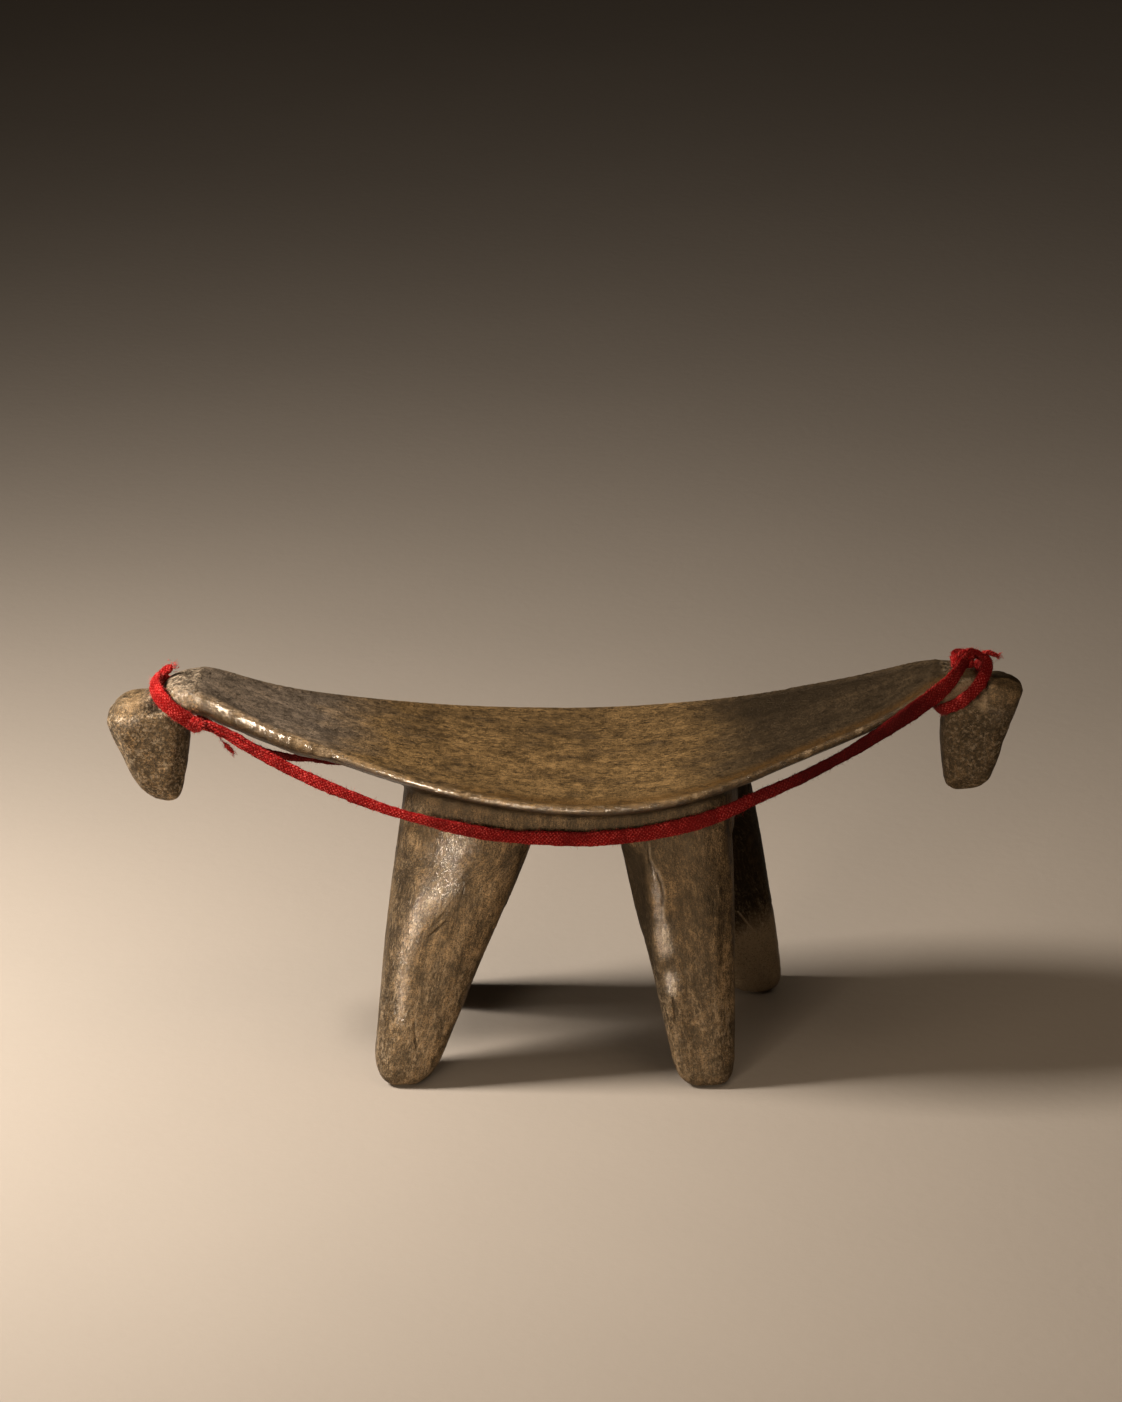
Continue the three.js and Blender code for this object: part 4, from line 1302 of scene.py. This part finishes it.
class StudioSettings(bpy.types.PropertyGroup):
    lens: FloatProperty(name="Lens", description="Focal length of the camera", default=124.35, min=10,
                        subtype="DISTANCE_CAMERA", unit="CAMERA")
    camera_place: FloatVectorProperty(name="Camera Place", description="Where the camera stands",
                                      default=(-0.001652, -1.85437, 0.83921), size=3, subtype="TRANSLATION",
                                      unit="LENGTH")
    camera_down: FloatProperty(name="Camera Tilt", description="How far the camera looks down",
                               default=math.radians(20.45), subtype="ANGLE", unit="ROTATION")
    floor_half: FloatProperty(name="Floor Half Width", description="Half the width of the floor",
                              default=7.0, min=1, subtype="DISTANCE", unit="LENGTH")
    floor_color: FloatVectorProperty(name="Floor", description="Colour of the floor",
                                     default=(0.368, 0.316, 0.26), size=3, min=0, max=1, subtype="COLOR")
    key_power: FloatProperty(name="Main Light", description="Power of the main light, in watts", default=12,
                             min=0, subtype="POWER", unit="POWER")
    fill_power: FloatProperty(name="Window Light", description="Power of the light in front, in watts",
                              default=4.2, min=0, subtype="POWER", unit="POWER")
    top_power: FloatProperty(name="Top Light", description="Power of the wide light above, in watts",
                             default=2.2, min=0, subtype="POWER", unit="POWER")
    strip_power: FloatProperty(name="Strip Light", default=37,
                               description="Power of the strip seen in the gloss, in watts",
                               min=0, subtype="POWER", unit="POWER")
    sky: FloatProperty(name="Room Light", description="Brightness of the light from all round",
                       default=0.018, min=0)


# Operators


class HEADREST_OT_studio(bpy.types.Operator):
    """Make the camera, the soft lights and the pale floor"""

    bl_idname = "headrest.studio"
    bl_label = "Studio"

    def execute(self, context):
        look = context.scene.headrest_studio
        make_camera(look)
        for name, place, target_height, size, power, color in (
            ("main_light", (-0.58, -0.04, 0.56), 0.06, (0.18, 0.18), look.key_power, (1, 0.93, 0.86)),
            ("window_light", (-0.42, -1.2, 0.4), 0.1, (0.35, 0.35), look.fill_power, WARM),
            ("top_light", (0.3, -0.3, 0.95), 0.1, (0.7, 0.7), look.top_power, WARM),
            ("strip_light", (-0.42, -1.0, 0.15), 0.09, (0.1, 0.28), look.strip_power, (1, 0.82, 0.62)),
        ):
            soft_light(name, place, (0, 0, target_height), size, power, color, name == "strip_light")
        make_floor(look)
        world = bpy.data.worlds.new("studio_room")
        world.use_nodes = True
        background = world.node_tree.nodes["Background"]
        background.inputs["Color"].default_value = (*WARM, 1)
        background.inputs["Strength"].default_value = look.sky
        context.scene.world = world
        context.scene.view_settings.view_transform = "Standard"
        return {"FINISHED"}


class HEADREST_OT_strap(bpy.types.Operator):
    """Make the cloth strap: two hanging runs, the loops round the necks, the knots and torn ends"""

    bl_idname = "headrest.strap"
    bl_label = "Cloth Strap"

    def execute(self, context):
        look = context.scene.headrest_strap
        front, front_line, back, back_line = hanging_runs(look)
        cloth = felted_cloth(look)
        made = {mesh.name: new_piece(mesh.name, mesh, cloth)
                for mesh in (front, back, *neck_loops(look), *knots(look), *torn_ends(look))}
        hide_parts("carry_strap")
        return {"FINISHED"}


class HEADREST_OT_block(bpy.types.Operator):
    """Carve the wooden block: seat, end knobs, body and legs in one piece"""

    bl_idname = "headrest.block"
    bl_label = "Carved Block"

    def execute(self, context):
        look = context.scene.headrest_wood
        mesh = carve_block(look)
        if len(mesh.polygons) < 20000:
            raise RuntimeError("the carved block came out too coarse")
        piece = new_piece("carved_block", mesh, oiled_wood(look))
        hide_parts("headrest")
        return {"FINISHED"}


class HEADREST_PT_panel(bpy.types.Panel):
    """Lists the parts of the headrest"""

    bl_label = "Headrest"
    bl_idname = "HEADREST_PT_panel"
    bl_space_type = "VIEW_3D"
    bl_region_type = "UI"
    bl_category = "Headrest"

    def draw(self, context):
        for operator, group in (
            (HEADREST_OT_studio, "headrest_studio"),
            (HEADREST_OT_strap, "headrest_strap"),
            (HEADREST_OT_block, "headrest_wood"),
        ):
            box = self.layout.box()
            box.operator(operator.bl_idname)
            settings = getattr(context.scene, group)
            for name in settings.__annotations__:
                box.prop(settings, name)


CLASSES = (
    HeadrestWoodSettings,
    CarryStrapSettings,
    StudioSettings,
    HEADREST_OT_studio,
    HEADREST_OT_strap,
    HEADREST_OT_block,
    HEADREST_PT_panel,
)


def register():
    for cls in CLASSES:
        bpy.utils.register_class(cls)
    bpy.types.Scene.headrest_wood = PointerProperty(type=HeadrestWoodSettings)
    bpy.types.Scene.headrest_strap = PointerProperty(type=CarryStrapSettings)
    bpy.types.Scene.headrest_studio = PointerProperty(type=StudioSettings)


def unregister():
    del bpy.types.Scene.headrest_studio
    del bpy.types.Scene.headrest_strap
    del bpy.types.Scene.headrest_wood
    for cls in reversed(CLASSES):
        bpy.utils.unregister_class(cls)


def main():
    register()
    bpy.ops.headrest.studio()
    bpy.ops.headrest.strap()
    bpy.ops.headrest.block()


if __name__ == "__main__":
    main()
